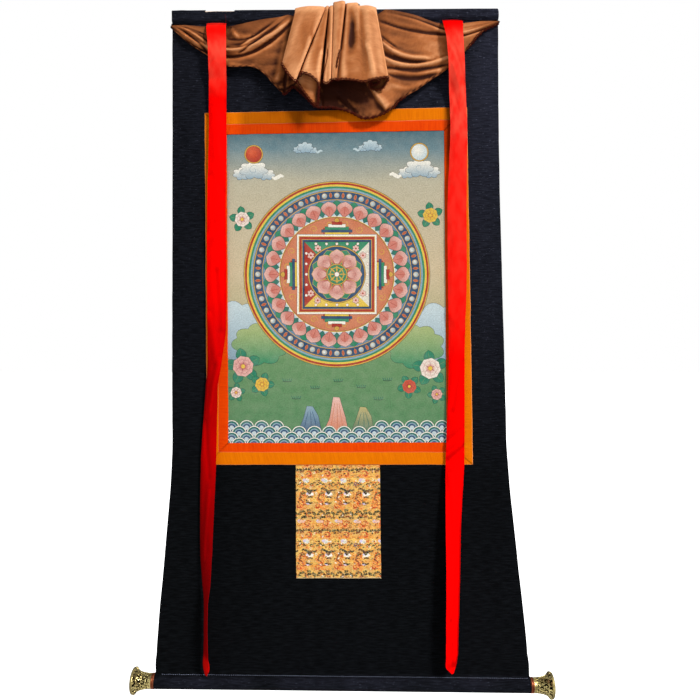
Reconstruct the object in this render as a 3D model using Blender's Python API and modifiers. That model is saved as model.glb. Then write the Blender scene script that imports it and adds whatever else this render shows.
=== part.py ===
"""Thangka scroll painting: a navy cloth panel with a stave sleeve at its top and a rod pocket
at its foot, two mitred silk borders round a painted canvas, a brocade patch, two ribbons and
a gathered silk veil.

Metres, +Z up, seen from the front along +Y, with +X to the right. The origin is the middle
of the panel's top edge. Tables are in millimetres: x to the right of the origin, z above it,
and depth in front of the panel's middle plane, so y is minus the depth.
"""
import bisect
import math

import bmesh
import bpy

MM = 0.001
GAP = 0.3                       # clearance between neighbouring pieces

# Cloth thicknesses
PANEL_CLOTH = 1.5
BORDER_CLOTH = 1.0
RIBBON_CLOTH = 1.0
VEIL_CLOTH = 1.0

# The panel's side edges flare below the picture. Columns: z, x_left, x_right.
PANEL_EDGES = (
    (4, -325.5, 325.5),
    (-281, -325.5, 326.0),
    (-481, -325.3, 330.5),
    (-781, -324.7, 337.5),
    (-899, -325.0, 341.0),
    (-1083, -338.7, 361.3),
    (-1328, -359.0, 388.0),
    (-1400, -359.4, 388.6),
)
TOP_TILT = 2.0                  # the top edge is this much lower on the left, higher on the right
SLEEVE_LEFT_HEIGHT = 26.0       # of the flap that is turned down in front of the stave
SLEEVE_RIGHT_HEIGHT = 21.4
SLEEVE_PINCH = 4.5              # height over which the flap comes in to its seam
PANEL_HALF_WIDTH = 325.5
PANEL_COLUMNS = 10
MAIN_ROWS = 8

# Stave in the sleeve, bare in a short slot at the left of the top fold
STAVE_THICK = 4.0
STAVE_HEIGHT = 14.0
STAVE_ROUNDING = 1.95
STAVE_LENGTH = 636.0
SLOT_LEFT = -259.0
SLOT_RIGHT = -200.0
SLOT_DEPTH = 5.0
SLOT_DROP = 1.4                 # of the top fold at the slot, below the panel's middle
SLOT_NEAR = 1.0                 # the slot is cut between these depths
SLOT_FAR = 12.0

# Bottom rod and its pocket; the rod hangs a little lower on the right
ROD_RADIUS = 13.0
ROD_MID_Z = -1345.1
ROD_DROP_PER_MM = 0.01136
ROD_LEFT = -391.0
ROD_RIGHT = 416.0
POCKET_RADIUS = ROD_RADIUS + GAP + PANEL_CLOTH / 2
POCKET_SEAM_HEIGHT = 22.0       # of the pocket's seam above the rod's axis
POCKET_STEPS = 14
POCKET_START_ANGLE = 25.0       # the cloth lies on the rod from here, round its foot, to the end
POCKET_END_ANGLE = 335.0
# Where the cloth leaves the seam before and behind the rod. Columns: depth, drop below the seam.
POCKET_FRONT = (1.5, 3.5)
POCKET_BACK = (-2.3, 4.5)
FLAP_HEM = 1.0                  # height of the flap's hem under its seam
SLEEVE_STEPS = 6                # of the half turn over the stave

# Finials: a ring and a flared cap at each end. Columns of the profile: along, radius.
FINIAL_LEFT_START = -360.5
FINIAL_RIGHT_START = 389.6
RING_WIDTH = 5.5
RING_RADIUS = 15.2
BORE_RADIUS = ROD_RADIUS + GAP
BORE_LENGTH = 27.0
FINIAL_PROFILE = (
    (5.8, 14.9),
    (12.0, 14.9),
    (20.0, 15.7),
    (27.0, 17.2),
    (32.0, 19.2),
    (35.5, 22.0),
    (38.0, 25.2),
    (40.0, 26.3),
    (42.5, 26.2),
    (44.2, 24.6),
    (45.6, 20.0),
    (46.8, 11.0),
    (47.2, 0.0),
)
TURNED_STEPS = 32

# Corners of the painted canvas and of the two borders round it. Columns: name, x, z.
CANVAS_CORNERS = (
    ("top_left", -216.6, -248.7),
    ("top_right", 217.3, -240.7),
    ("bottom_right", 222.9, -864.0),
    ("bottom_left", -213.6, -865.0),
)
INNER_CORNERS = (
    ("top_left", -237.0, -228.7),
    ("top_right", 238.3, -218.7),
    ("bottom_right", 244.3, -883.6),
    ("bottom_left", -233.2, -883.6),
)
OUTER_CORNERS = (
    ("top_left", -261.2, -205.7),
    ("top_right", 263.6, -193.7),
    ("bottom_right", 275.2, -908.5),
    ("bottom_left", -256.6, -908.5),
)
SIDES = ("top", "right", "bottom", "left")
PATCH_CORNERS = (
    ("top_left", -78.8, -908.8),
    ("top_right", 89.2, -908.8),
    ("bottom_right", 91.4, -1135.1),
    ("bottom_left", -77.8, -1135.1),
)

# Ribbons, from the sleeve's seam down over the veil. Columns: z, x and depth of each edge.
LEFT_RIBBON = (
    (-27.6, -256.1, 2.9, -217.4, 2.9),
    (-31.0, -255.8, 6.0, -217.1, 6.0),
    (-36.0, -255.0, 12.0, -216.5, 12.0),
    (-46.0, -253.5, 19.0, -215.1, 19.0),
    (-79.0, -249.9, 25.0, -213.5, 25.0),
    (-104.0, -249.3, 24.0, -213.8, 24.0),
    (-140.0, -250.0, 13.0, -215.3, 12.0),
    (-202.0, -250.8, 9.0, -216.2, 7.0),
    (-251.0, -251.0, 9.0, -216.4, 7.0),
    (-380.0, -254.4, 8.0, -217.4, 7.0),
    (-540.0, -255.1, 7.0, -216.4, 7.0),
    (-640.0, -254.2, 7.0, -217.4, 7.0),
    (-709.0, -254.0, 7.0, -223.3, 23.5),
    (-748.0, -257.0, 7.0, -229.1, 28.5),
    (-896.0, -266.6, 7.0, -233.9, 22.0),
    (-1076.0, -268.2, 7.0, -240.3, 28.5),
    (-1131.0, -264.9, 7.0, -242.8, 33.5),
    (-1180.0, -261.2, 7.0, -247.2, 39.0),
    (-1249.0, -261.4, 7.0, -247.6, 39.0),
    (-1287.0, -261.7, 8.0, -246.7, 40.5),
    (-1303.0, -260.8, 8.0, -245.9, 41.0),
    (-1320.0, -262.9, 9.0, -248.3, 39.5),
)
RIGHT_RIBBON = (
    (-21.4, 212.7, 2.9, 253.2, 2.9),
    (-24.0, 212.8, 7.5, 252.8, 7.5),
    (-28.0, 213.0, 14.0, 252.4, 14.0),
    (-38.0, 214.0, 20.0, 252.0, 20.0),
    (-63.0, 218.3, 26.0, 251.8, 26.0),
    (-99.0, 221.5, 27.0, 254.2, 26.0),
    (-127.0, 223.5, 24.0, 256.0, 22.0),
    (-162.0, 226.0, 12.0, 258.8, 12.0),
    (-202.0, 228.5, 7.0, 261.3, 9.0),
    (-251.0, 228.9, 7.0, 262.3, 9.0),
    (-380.0, 223.6, 7.0, 261.5, 7.0),
    (-540.0, 224.2, 7.0, 261.7, 7.0),
    (-659.0, 225.6, 7.0, 258.0, 7.0),
    (-779.0, 224.6, 7.0, 257.4, 7.0),
    (-898.0, 219.8, 7.0, 257.0, 7.0),
    (-1017.0, 218.4, 18.5, 250.8, 7.0),
    (-1132.0, 218.6, 26.0, 248.2, 7.0),
    (-1283.0, 217.4, 29.0, 244.0, 8.0),
    (-1304.0, 218.2, 25.0, 241.0, 8.0),
    (-1316.0, 228.7, 23.5, 234.7, 18.0),
)
RIBBON_BOW = 2.5                # the middle of a ribbon stands this much prouder than its edges
RIBBON_FIBRES = 5

# Veil. Its lower hem runs from corner to corner, its upper edge along the sleeve's seam.
# Columns: lower x, z and depth, upper x, z and depth.
LEFT_SWAG = (
    (-326.4, -37.0, 4.0, -325.5, -32.0, 4.0),
    (-297.0, -62.3, 9.0, -299.0, -32.0, 5.0),
    (-257.0, -92.3, 12.0, -257.0, -34.0, 3.4),
    (-215.7, -116.2, 13.0, -216.0, -34.0, 3.6),
    (-165.6, -118.4, 13.0, -170.0, -28.0, 10.0),
    (-142.7, -129.9, 14.0, -143.0, -24.0, 13.0),
    (-119.9, -154.9, 15.0, -112.0, -21.0, 15.0),
    (-99.0, -175.1, 15.0, -93.0, -16.0, 15.0),
)
RIGHT_SWAG = (
    (126.2, -185.6, 16.0, 100.0, -5.0, 15.0),
    (160.0, -165.0, 14.0, 128.0, -9.0, 14.0),
    (190.1, -144.0, 13.0, 160.0, -16.0, 12.5),
    (222.0, -121.2, 12.0, 205.0, -27.0, 4.5),
    (263.4, -79.6, 10.0, 254.0, -27.0, 3.6),
    (290.6, -47.6, 8.0, 291.0, -24.0, 5.0),
    (326.0, -27.0, 4.0, 325.5, -23.5, 4.0),
)
# Lower hem of the part that hangs behind the front fall. Columns: x, z, depth.
BACK_LOBE = (
    (-82.9, -156.9, 13.0),
    (-60.0, -176.0, 12.0),
    (-37.7, -197.1, 12.0),
    (-1.2, -199.3, 12.0),
    (30.7, -208.4, 13.0),
    (57.8, -221.1, 15.0),
    (89.8, -215.1, 17.0),
    (117.1, -199.3, 17.0),
)
# Pleats of the front fall, left to right. Columns: top x, top depth, height of the fold over
# the top, then x, depth and z of the pleat at the hem.
FRONT_FALL = (
    (-74.8, 24.0, -8.0, -92.0, 27.0, -126.0),
    (-77.2, 29.0, -5.0, -103.1, 36.0, -122.3),
    (-52.4, 35.0, -4.0, -88.5, 44.0, -147.1),
    (-23.2, 34.0, -4.0, -76.7, 45.0, -158.9),
    (-20.6, 26.0, -4.0, -73.8, 35.0, -150.9),
    (-18.4, 31.0, -3.0, -59.0, 47.0, -144.6),
    (-14.4, 33.0, -2.0, -33.3, 47.0, -160.5),
    (-13.4, 31.0, -1.5, -31.4, 40.0, -178.0),
    (-13.0, 29.5, -1.0, -38.6, 36.0, -202.3),
    (-12.6, 28.0, -0.5, -75.0, 32.0, -154.0),
    (-12.3, 26.0, 0.0, -72.3, 27.5, -148.4),
    (-11.8, 24.0, 1.0, -28.2, 28.0, -149.2),
    (-7.5, 34.0, 3.0, -18.9, 43.0, -167.6),
    (-3.6, 34.0, 5.0, -11.2, 43.0, -164.7),
    (-1.8, 28.0, 6.0, -5.5, 36.0, -153.6),
    (8.1, 38.0, 7.0, -0.5, 43.0, -156.0),
    (20.7, 32.0, 7.0, 7.2, 40.0, -155.2),
    (27.5, 22.0, 4.0, 31.4, 38.0, -155.4),
    (41.2, 36.0, 4.0, 50.7, 47.0, -160.9),
    (60.5, 42.0, -1.0, 75.6, 52.0, -159.0),
    (80.2, 35.0, -4.0, 103.1, 42.0, -154.0),
    (76.6, 25.0, -6.0, 93.0, 30.0, -151.0),
)
# Folds of the swags, each a curve from its start past a control point to its end.
# Columns: start x, z, control x, z, end x, z, height, width above the crest, width below it.
SWAG_FOLDS = (
    (-83.0, -12.0, -195.0, -176.0, -326.0, -34.0, 6.0, 14.0, 5.0),
    (-110.0, -28.0, -212.0, -92.0, -326.0, -33.0, 3.5, 9.0, 9.0),
    (88.0, -12.0, 200.0, -56.0, 325.0, -25.0, 5.0, 9.0, 5.0),
    (98.0, -66.0, 150.0, -153.0, 325.0, -25.0, 5.0, 14.0, 5.0),
    (103.0, -110.0, 166.0, -166.0, 325.0, -25.0, 5.0, 9.0, 6.0),
    (66.0, -150.0, 84.0, -180.0, 104.0, -206.0, 6.0, 16.0, 6.0),
)
FOLD_SAMPLES = 24
FOLD_FADE = 30.0                # a swag's folds die out over this length towards its corner
TOP_FADE = 3.0                  # and over a third of its height below its upper edge
SWAG_COLUMNS = 16
PLEAT_COLUMNS = 2               # mesh columns from one pleat to the next
SWAG_ROWS = 12
TURN_ROWS = 4                   # of the fold over the top
FALL_ROWS = 8
SWAG_BULGE = 3.0
BEHIND_FALL_DEPTH = 13.0        # of the cloth behind the fall at its first pleat
BEHIND_FALL_SHARE = 0.25        # of a pleat's own depth that this cloth follows
TURN_DROP = 9.0                 # the cloth starts to turn over this far below the fold's crest

collection = bpy.data.collections.new("thangka_scroll_painting")
cutters = bpy.data.collections.new("cutters")


def clear_scene():
    """Remove the objects that are already in the scene."""
    for old in list(bpy.data.objects):
        bpy.data.objects.remove(old, do_unlink=True)


def finish(name, colour, roughness, metallic=0.0):
    """A material of one colour."""
    material = bpy.data.materials.new(name)
    material.use_nodes = True
    shader = material.node_tree.nodes["Principled BSDF"]
    shader.inputs["Base Color"].default_value = (*colour, 1.0)
    shader.inputs["Roughness"].default_value = roughness
    shader.inputs["Metallic"].default_value = metallic
    return material


def add(name, data, material=None, group=None):
    """A new object in the part's collection."""
    piece = bpy.data.objects.new(name, data)
    (group or collection).objects.link(piece)
    if material:
        data.materials.append(material)
    return piece


def at(x, depth, z):
    """A point in metres from a table's millimetres."""
    return (x * MM, -depth * MM, z * MM)


def between(a, b, share):
    """The value, or the row of values, a share of the way from a to b."""
    if isinstance(a, tuple):
        return tuple(between(p, q, share) for p, q in zip(a, b))
    return a + (b - a) * share


def read_table(table, key, column):
    """Linear reading of a table whose first column falls from row to row."""
    keys = [-row[0] for row in table]
    row = min(max(bisect.bisect_right(keys, -key) - 1, 0), len(table) - 2)
    share = (table[row][0] - key) / (table[row][0] - table[row + 1][0])
    return between(table[row][column], table[row + 1][column], share)


def smooth(rows, place):
    """A curve through the rows of a table, at a place counted in rows from the first."""
    row = min(int(place), len(rows) - 2)
    share = place - row
    before = rows[max(row - 1, 0)]
    start, end = rows[row], rows[row + 1]
    after = rows[min(row + 2, len(rows) - 1)]
    values = []
    for p, a, b, q in zip(before, start, end, after):
        leave, arrive = (b - p) / 2, (q - a) / 2
        bend = 3 * (b - a) - 2 * leave - arrive
        turn = 2 * (a - b) + leave + arrive
        values.append(a + share * (leave + share * (bend + share * turn)))
    return tuple(values)


def cloth(name, grid, thickness, material):
    """A sheet through a grid of points; a point that is None leaves its cells out."""
    mesh = bpy.data.meshes.new(name)
    numbers, points, faces = {}, [], []
    for r, row in enumerate(grid):
        for c, point in enumerate(row):
            if point is not None:
                numbers[r, c] = len(points)
                points.append(at(*point))
    for r in range(len(grid) - 1):
        for c in range(len(grid[0]) - 1):
            corners = ((r, c), (r + 1, c), (r + 1, c + 1), (r, c + 1))
            if all(corner in numbers for corner in corners):
                faces.append([numbers[corner] for corner in corners])
    mesh.from_pydata(points, [], faces)
    piece = add(name, mesh, material)
    wall = piece.modifiers.new("Cloth", "SOLIDIFY")
    wall.thickness = thickness * MM
    wall.offset = 0.0
    return piece


def flat_piece(name, corners, back, thickness, material):
    """A flat piece of cloth or canvas, drawn in by half a gap on every edge."""
    curve = bpy.data.curves.new(name, "CURVE")
    curve.dimensions = "2D"
    curve.fill_mode = "BOTH"
    curve.extrude = thickness / 2 * MM
    outline = drawn_in([(x, z) for x, z in corners], GAP / 2)
    spline = curve.splines.new("POLY")
    spline.points.add(len(outline) - 1)
    for point, (x, z) in zip(spline.points, outline):
        point.co = (x * MM, z * MM, 0.0, 1.0)
    spline.use_cyclic_u = True
    piece = add(name, curve, material)
    piece.rotation_euler = (math.radians(90), 0.0, 0.0)
    piece.location = at(0.0, back + thickness / 2, 0.0)
    return piece


def drawn_in(outline, distance):
    """The outline of a clockwise, outward-bulging shape, moved in by a distance."""
    moved = []
    count = len(outline)
    for n in range(count):
        (ax, az), (bx, bz) = outline[n - 1], outline[n]
        cx, cz = outline[(n + 1) % count]
        before = math.hypot(bx - ax, bz - az)
        after = math.hypot(cx - bx, cz - bz)
        in_before = ((bz - az) / before, -(bx - ax) / before)
        in_after = ((cz - bz) / after, -(cx - bx) / after)
        share = distance / (1 + in_before[0] * in_after[0] + in_before[1] * in_after[1])
        moved.append((bx + share * (in_before[0] + in_after[0]),
                      bz + share * (in_before[1] + in_after[1])))
    return moved


def turned(name, profile, material):
    """A closed turned solid on its own Z axis, from (along, radius) pairs."""
    mesh = bpy.data.meshes.new(name)
    points = [(radius * MM, 0.0, -along * MM) for along, radius in profile]
    closed = profile[0][1] > 0
    edges = [(n, n + 1) for n in range(len(points) - 1)]
    if closed:
        edges.append((len(points) - 1, 0))
    mesh.from_pydata(points, edges, [])
    piece = add(name, mesh, material)
    screw = piece.modifiers.new("Turned", "SCREW")
    screw.angle = math.tau
    screw.steps = TURNED_STEPS
    screw.render_steps = TURNED_STEPS
    screw.use_merge_vertices = True
    screw.merge_threshold = 0.00005
    return piece


def rod_z(x):
    """Height of the rod's axis."""
    return ROD_MID_Z - ROD_DROP_PER_MM * x


def box(name, size, group=None, material=None):
    """A box of a size in millimetres, on its own centre."""
    mesh = bpy.data.meshes.new(name)
    work = bmesh.new()
    bmesh.ops.create_cube(work, size=1.0)
    bmesh.ops.scale(work, vec=[side * MM for side in size], verts=work.verts)
    work.to_mesh(mesh)
    work.free()
    return add(name, mesh, material, group)


def panel_section(share):
    """Depths and heights of the panel's cloth, from the sleeve's flap to the pocket's hem."""
    top = between(-TOP_TILT, TOP_TILT, share)
    flap = top - between(SLEEVE_LEFT_HEIGHT, SLEEVE_RIGHT_HEIGHT, share)
    front = STAVE_THICK + 2 * GAP + PANEL_CLOTH
    hem = PANEL_CLOTH + GAP
    section = [(hem, flap), (hem, flap + FLAP_HEM), (front, flap + SLEEVE_PINCH)]
    turn = front / 2
    turn_z = top - PANEL_CLOTH / 2 - turn
    for step in range(SLEEVE_STEPS + 1):
        angle = math.pi * step / SLEEVE_STEPS
        section.append((turn + turn * math.cos(angle), turn_z + turn * math.sin(angle)))
    foot = [read_table(PANEL_EDGES, ROD_MID_Z, side) for side in (1, 2)]
    axis = rod_z(between(*foot, share))
    seam = axis + POCKET_SEAM_HEIGHT
    for row in range(1, MAIN_ROWS + 1):
        section.append((0.0, between(turn_z, seam, row / MAIN_ROWS)))
    section.append((POCKET_FRONT[0], seam - POCKET_FRONT[1]))
    for step in range(POCKET_STEPS + 1):
        angle = math.radians(between(POCKET_START_ANGLE, POCKET_END_ANGLE, step / POCKET_STEPS))
        section.append((POCKET_RADIUS * math.sin(angle), axis + POCKET_RADIUS * math.cos(angle)))
    section.append((POCKET_BACK[0], seam - POCKET_BACK[1]))
    section.append((-hem, seam))
    return section


def panel(material):
    """The navy cloth: sleeve, panel and pocket are one folded sheet, slotted over the stave."""
    sections = []
    for column in range(PANEL_COLUMNS + 1):
        share = column / PANEL_COLUMNS
        points = []
        for depth, z in panel_section(share):
            left, right = (read_table(PANEL_EDGES, z, side) for side in (1, 2))
            points.append((between(left, right, share), depth, z))
        sections.append(points)
    piece = cloth("mount_panel", sections, PANEL_CLOTH, material)
    slot = box("stave_slot", (SLOT_RIGHT - SLOT_LEFT, SLOT_FAR - SLOT_NEAR, 2 * SLOT_DEPTH),
               cutters)
    slot.location = at((SLOT_LEFT + SLOT_RIGHT) / 2, (SLOT_NEAR + SLOT_FAR) / 2, -SLOT_DROP)
    slot.hide_render = True
    slot.display_type = "WIRE"
    cut = piece.modifiers.new("Slot", "BOOLEAN")
    cut.operation = "DIFFERENCE"
    cut.object = slot
    return piece


def stave(material):
    """The flat wooden stave in the sleeve."""
    piece = box("top_stave", (STAVE_LENGTH, STAVE_THICK, STAVE_HEIGHT), material=material)
    rounding = piece.modifiers.new("Rounding", "BEVEL")
    rounding.width = STAVE_ROUNDING * MM
    rounding.segments = 3
    depth = PANEL_CLOTH / 2 + GAP + STAVE_THICK / 2
    piece.location = at(0.0, depth, -PANEL_CLOTH - GAP - STAVE_HEIGHT / 2)
    piece.rotation_euler = (0.0, -math.atan(TOP_TILT / PANEL_HALF_WIDTH), 0.0)
    return piece


def rod_pieces(wood, brass, copper):
    """The rod, and on each end of it a ring and a flared cap with a blind bore."""
    mid = (ROD_LEFT + ROD_RIGHT) / 2
    length = ROD_RIGHT - ROD_LEFT
    tilt = math.atan(ROD_DROP_PER_MM)
    bpy.ops.mesh.primitive_cylinder_add(vertices=TURNED_STEPS, radius=ROD_RADIUS * MM,
                                        depth=length * MM)
    rod = bpy.context.object
    rod.name = "bottom_rod"
    for group in list(rod.users_collection):
        group.objects.unlink(rod)
    collection.objects.link(rod)
    rod.data.materials.append(wood)
    rod.location = at(mid, 0.0, rod_z(mid))
    rod.rotation_euler = (0.0, math.radians(90) + tilt, 0.0)
    bore = ((BORE_LENGTH + RING_WIDTH, 0.0), (BORE_LENGTH + RING_WIDTH, BORE_RADIUS),
            (FINIAL_PROFILE[0][0], BORE_RADIUS))
    ring = ((0.0, BORE_RADIUS), (0.0, RING_RADIUS), (RING_WIDTH, RING_RADIUS),
            (RING_WIDTH, BORE_RADIUS))
    ends = (("left", FINIAL_LEFT_START, -1), ("right", FINIAL_RIGHT_START, 1))
    for side, start, way in ends:
        cap = turned("finial_" + side, bore + FINIAL_PROFILE, brass)
        collar = turned("finial_ring_" + side, ring, copper)
        for piece in (cap, collar):
            piece.location = at(start, 0.0, rod_z(start))
            piece.rotation_euler = (0.0, math.radians(-90 * way) + tilt, 0.0)


def borders(outer_silk, inner_silk, canvas_paint, brocade):
    """The two mitred borders, the canvas inside them and the patch below them."""
    back = PANEL_CLOTH / 2 + GAP
    frames = (("outer_border_", OUTER_CORNERS, INNER_CORNERS, outer_silk),
              ("inner_border_", INNER_CORNERS, CANVAS_CORNERS, inner_silk))
    for prefix, outside, inside, silk in frames:
        for n, side in enumerate(SIDES):
            after = (n + 1) % 4
            corners = (outside[n][1:], outside[after][1:], inside[after][1:], inside[n][1:])
            flat_piece(prefix + side, corners, back, BORDER_CLOTH, silk)
    flat_piece("painted_canvas", [corner[1:] for corner in CANVAS_CORNERS], back,
               BORDER_CLOTH, canvas_paint)
    flat_piece("brocade_patch", [corner[1:] for corner in PATCH_CORNERS], back,
               BORDER_CLOTH, brocade)


def ribbon(name, rows, silk):
    """A ribbon from its table of edges, a little bowed across."""
    grid = []
    for z, left, left_depth, right, right_depth in rows:
        line = []
        for fibre in range(RIBBON_FIBRES):
            share = fibre / (RIBBON_FIBRES - 1)
            bow = RIBBON_BOW * 4 * share * (1 - share)
            line.append((between(left, right, share),
                         between(left_depth, right_depth, share) + bow, z))
        grid.append(line)
    return cloth(name, grid, RIBBON_CLOTH, silk)


def fold_height(x, z):
    """How far the folds of the swags lift the veil at a point."""
    lift = 0.0
    for ax, az, cx, cz, bx, bz, height, above, below in SWAG_FOLDS:
        nearest, offset, place = 1e9, 0.0, 0.0
        for n in range(FOLD_SAMPLES + 1):
            t = n / FOLD_SAMPLES
            px = (1 - t) ** 2 * ax + 2 * t * (1 - t) * cx + t * t * bx
            pz = (1 - t) ** 2 * az + 2 * t * (1 - t) * cz + t * t * bz
            distance = math.hypot(x - px, z - pz)
            if distance < nearest:
                nearest, offset, place = distance, z - pz, t
        width = above if offset > 0 else below
        lift += height * math.exp(-(nearest / width) ** 2)
    corner = min(abs(x + PANEL_HALF_WIDTH), abs(x - PANEL_HALF_WIDTH)) / FOLD_FADE
    return lift * min(corner, 1.0)


def veil(silk):
    """The silk veil: two swags, a lobe behind, and a pleated front fall folded over the top."""
    lobe_span = len(BACK_LOBE) - 1
    pleats = (len(FRONT_FALL) - 1) * PLEAT_COLUMNS
    columns = []
    for n in range(SWAG_COLUMNS):
        columns.append((smooth(LEFT_SWAG, n / SWAG_COLUMNS * (len(LEFT_SWAG) - 1)), None))
    for n in range(pleats + 1):
        fall = smooth(FRONT_FALL, n / PLEAT_COLUMNS)
        low_x, low_z, low_depth = smooth(BACK_LOBE, n / pleats * lobe_span)
        back = BEHIND_FALL_DEPTH + BEHIND_FALL_SHARE * (fall[1] - FRONT_FALL[0][1])
        row = (low_x, low_z, low_depth, fall[0], fall[2] - TURN_DROP, back)
        columns.append((row, fall))
    for n in range(1, SWAG_COLUMNS + 1):
        columns.append((smooth(RIGHT_SWAG, n / SWAG_COLUMNS * (len(RIGHT_SWAG) - 1)), None))
    grid = [[None] * len(columns) for _ in range(SWAG_ROWS + TURN_ROWS + FALL_ROWS)]
    for c, (swag, fall) in enumerate(columns):
        low_x, low_z, low_depth, top_x, top_z, top_depth = swag
        for r in range(SWAG_ROWS):
            share = r / (SWAG_ROWS - 1)
            x, z = between(low_x, top_x, share), between(low_z, top_z, share)
            depth = between(low_depth, top_depth, share) + SWAG_BULGE * math.sin(math.pi * share)
            fade = min(1.0, TOP_FADE * (1 - share))
            grid[r][c] = (x, depth + fade * fold_height(x, z), z)
        if fall is None:
            continue
        fall_x, fall_depth, crest, hem_x, hem_depth, hem_z = fall
        mid, half = (top_depth + fall_depth) / 2, (fall_depth - top_depth) / 2
        for r in range(TURN_ROWS):
            angle = math.pi * (r + 1) / (TURN_ROWS + 1)
            grid[SWAG_ROWS + r][c] = (fall_x, mid - half * math.cos(angle),
                                      top_z + (crest - top_z) * math.sin(angle))
        for r in range(FALL_ROWS):
            share = r / (FALL_ROWS - 1)
            grid[SWAG_ROWS + TURN_ROWS + r][c] = (between(fall_x, hem_x, share),
                                                  between(fall_depth, hem_depth, share),
                                                  between(top_z, hem_z, share))
    return cloth("silk_veil", grid, VEIL_CLOTH, silk)


def build():
    """The whole scroll."""
    clear_scene()
    bpy.context.scene.collection.children.link(collection)
    bpy.context.scene.collection.children.link(cutters)
    navy = finish("navy_cloth", (0.007, 0.009, 0.018), 0.75)
    pale_wood = finish("pale_wood", (0.62, 0.45, 0.30), 0.6)
    rod_wood = finish("rod_wood", (0.20, 0.07, 0.03), 0.5)
    brass = finish("antique_brass", (0.45, 0.33, 0.12), 0.35, 1.0)
    copper = finish("copper_ring", (0.40, 0.14, 0.06), 0.4, 1.0)
    yellow_silk = finish("yellow_silk", (0.78, 0.24, 0.01), 0.55)
    orange_silk = finish("orange_silk", (0.72, 0.06, 0.005), 0.55)
    paint = finish("painted_canvas", (0.22, 0.30, 0.24), 0.8)
    gold_brocade = finish("gold_brocade", (0.72, 0.36, 0.07), 0.5)
    red_satin = finish("red_satin", (0.80, 0.01, 0.005), 0.35)
    brown_silk = finish("brown_silk", (0.40, 0.17, 0.07), 0.45)
    panel(navy)
    stave(pale_wood)
    rod_pieces(rod_wood, brass, copper)
    borders(yellow_silk, orange_silk, paint, gold_brocade)
    ribbon("ribbon_left", LEFT_RIBBON, red_satin)
    ribbon("ribbon_right", RIGHT_RIBBON, red_satin)
    veil(brown_silk)


build()
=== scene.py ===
import math
import random

import bpy
from mathutils import Matrix, Vector, noise
from mathutils.geometry import delaunay_2d_cdt


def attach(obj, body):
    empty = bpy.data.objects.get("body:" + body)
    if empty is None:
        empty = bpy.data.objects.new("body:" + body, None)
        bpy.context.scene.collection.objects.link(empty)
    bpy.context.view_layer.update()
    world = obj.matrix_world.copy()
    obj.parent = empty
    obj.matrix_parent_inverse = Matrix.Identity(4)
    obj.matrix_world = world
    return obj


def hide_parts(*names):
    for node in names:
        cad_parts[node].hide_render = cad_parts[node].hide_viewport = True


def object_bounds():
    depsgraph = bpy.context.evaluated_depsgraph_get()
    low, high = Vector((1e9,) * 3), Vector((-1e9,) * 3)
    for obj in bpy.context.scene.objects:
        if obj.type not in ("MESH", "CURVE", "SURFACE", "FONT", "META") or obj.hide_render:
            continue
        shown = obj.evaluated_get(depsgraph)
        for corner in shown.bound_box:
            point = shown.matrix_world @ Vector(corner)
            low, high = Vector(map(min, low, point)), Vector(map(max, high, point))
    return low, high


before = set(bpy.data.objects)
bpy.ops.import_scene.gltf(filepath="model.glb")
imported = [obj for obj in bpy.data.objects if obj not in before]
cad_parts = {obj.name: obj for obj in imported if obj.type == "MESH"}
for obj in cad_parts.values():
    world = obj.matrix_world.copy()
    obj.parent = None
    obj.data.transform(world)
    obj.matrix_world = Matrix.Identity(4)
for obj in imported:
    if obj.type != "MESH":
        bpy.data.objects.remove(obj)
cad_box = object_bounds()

# Camera, lights and floor. The scroll hangs free in a pale studio, and the camera stands level
# with its middle. Lengths in this section are metres, and millimetres in all that follow.
camera = bpy.data.objects.new("camera", bpy.data.cameras.new("camera"))
camera.data.lens = 34.71
camera.location = (0.0295, -1.35, -0.6792)
camera.rotation_euler = (math.radians(90), 0.0, 0.0)
bpy.context.scene.collection.objects.link(camera)
bpy.context.scene.camera = camera
bpy.context.scene.view_settings.view_transform = "Standard"

FLOOR_DROP = 0.35
bpy.ops.object.select_all(action="DESELECT")
bpy.ops.mesh.primitive_plane_add(size=60.0, location=(0.0, 0.0, cad_box[0].z - FLOOR_DROP))
floor = bpy.context.object
floor.name = "floor"
paper = bpy.data.materials.new("floor_paper")
paper.use_nodes = True
paper_shader = paper.node_tree.nodes["Principled BSDF"]
paper_shader.inputs["Base Color"].default_value = (0.6, 0.6, 0.6, 1.0)
paper_shader.inputs["Roughness"].default_value = 0.9
paper_shader.inputs["Emission Color"].default_value = (1.0, 1.0, 1.0, 1.0)
seen_brighter = paper.node_tree.nodes.new("ShaderNodeMath")
seen_brighter.operation = "MULTIPLY"
seen_brighter.inputs[1].default_value = 1.4
straight = paper.node_tree.nodes.new("ShaderNodeLightPath").outputs["Is Camera Ray"]
paper.node_tree.links.new(straight, seen_brighter.inputs[0])
paper.node_tree.links.new(seen_brighter.outputs[0], paper_shader.inputs["Emission Strength"])
floor.data.materials.append(paper)

# Columns: name, strength, width of the light in degrees, azimuth from the front, elevation.
LAMPS = (
    ("key", 3.6, 12.0, 44.0, 36.0),
    ("fill", 0.35, 50.0, -40.0, 15.0),
)
for name, strength, spread, azimuth, elevation in LAMPS:
    lamp = bpy.data.objects.new(name, bpy.data.lights.new(name, "SUN"))
    lamp.data.energy = strength
    lamp.data.angle = math.radians(spread)
    lamp.rotation_euler = (math.radians(90 - elevation), 0.0, math.radians(azimuth))
    bpy.context.scene.collection.objects.link(lamp)

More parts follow.
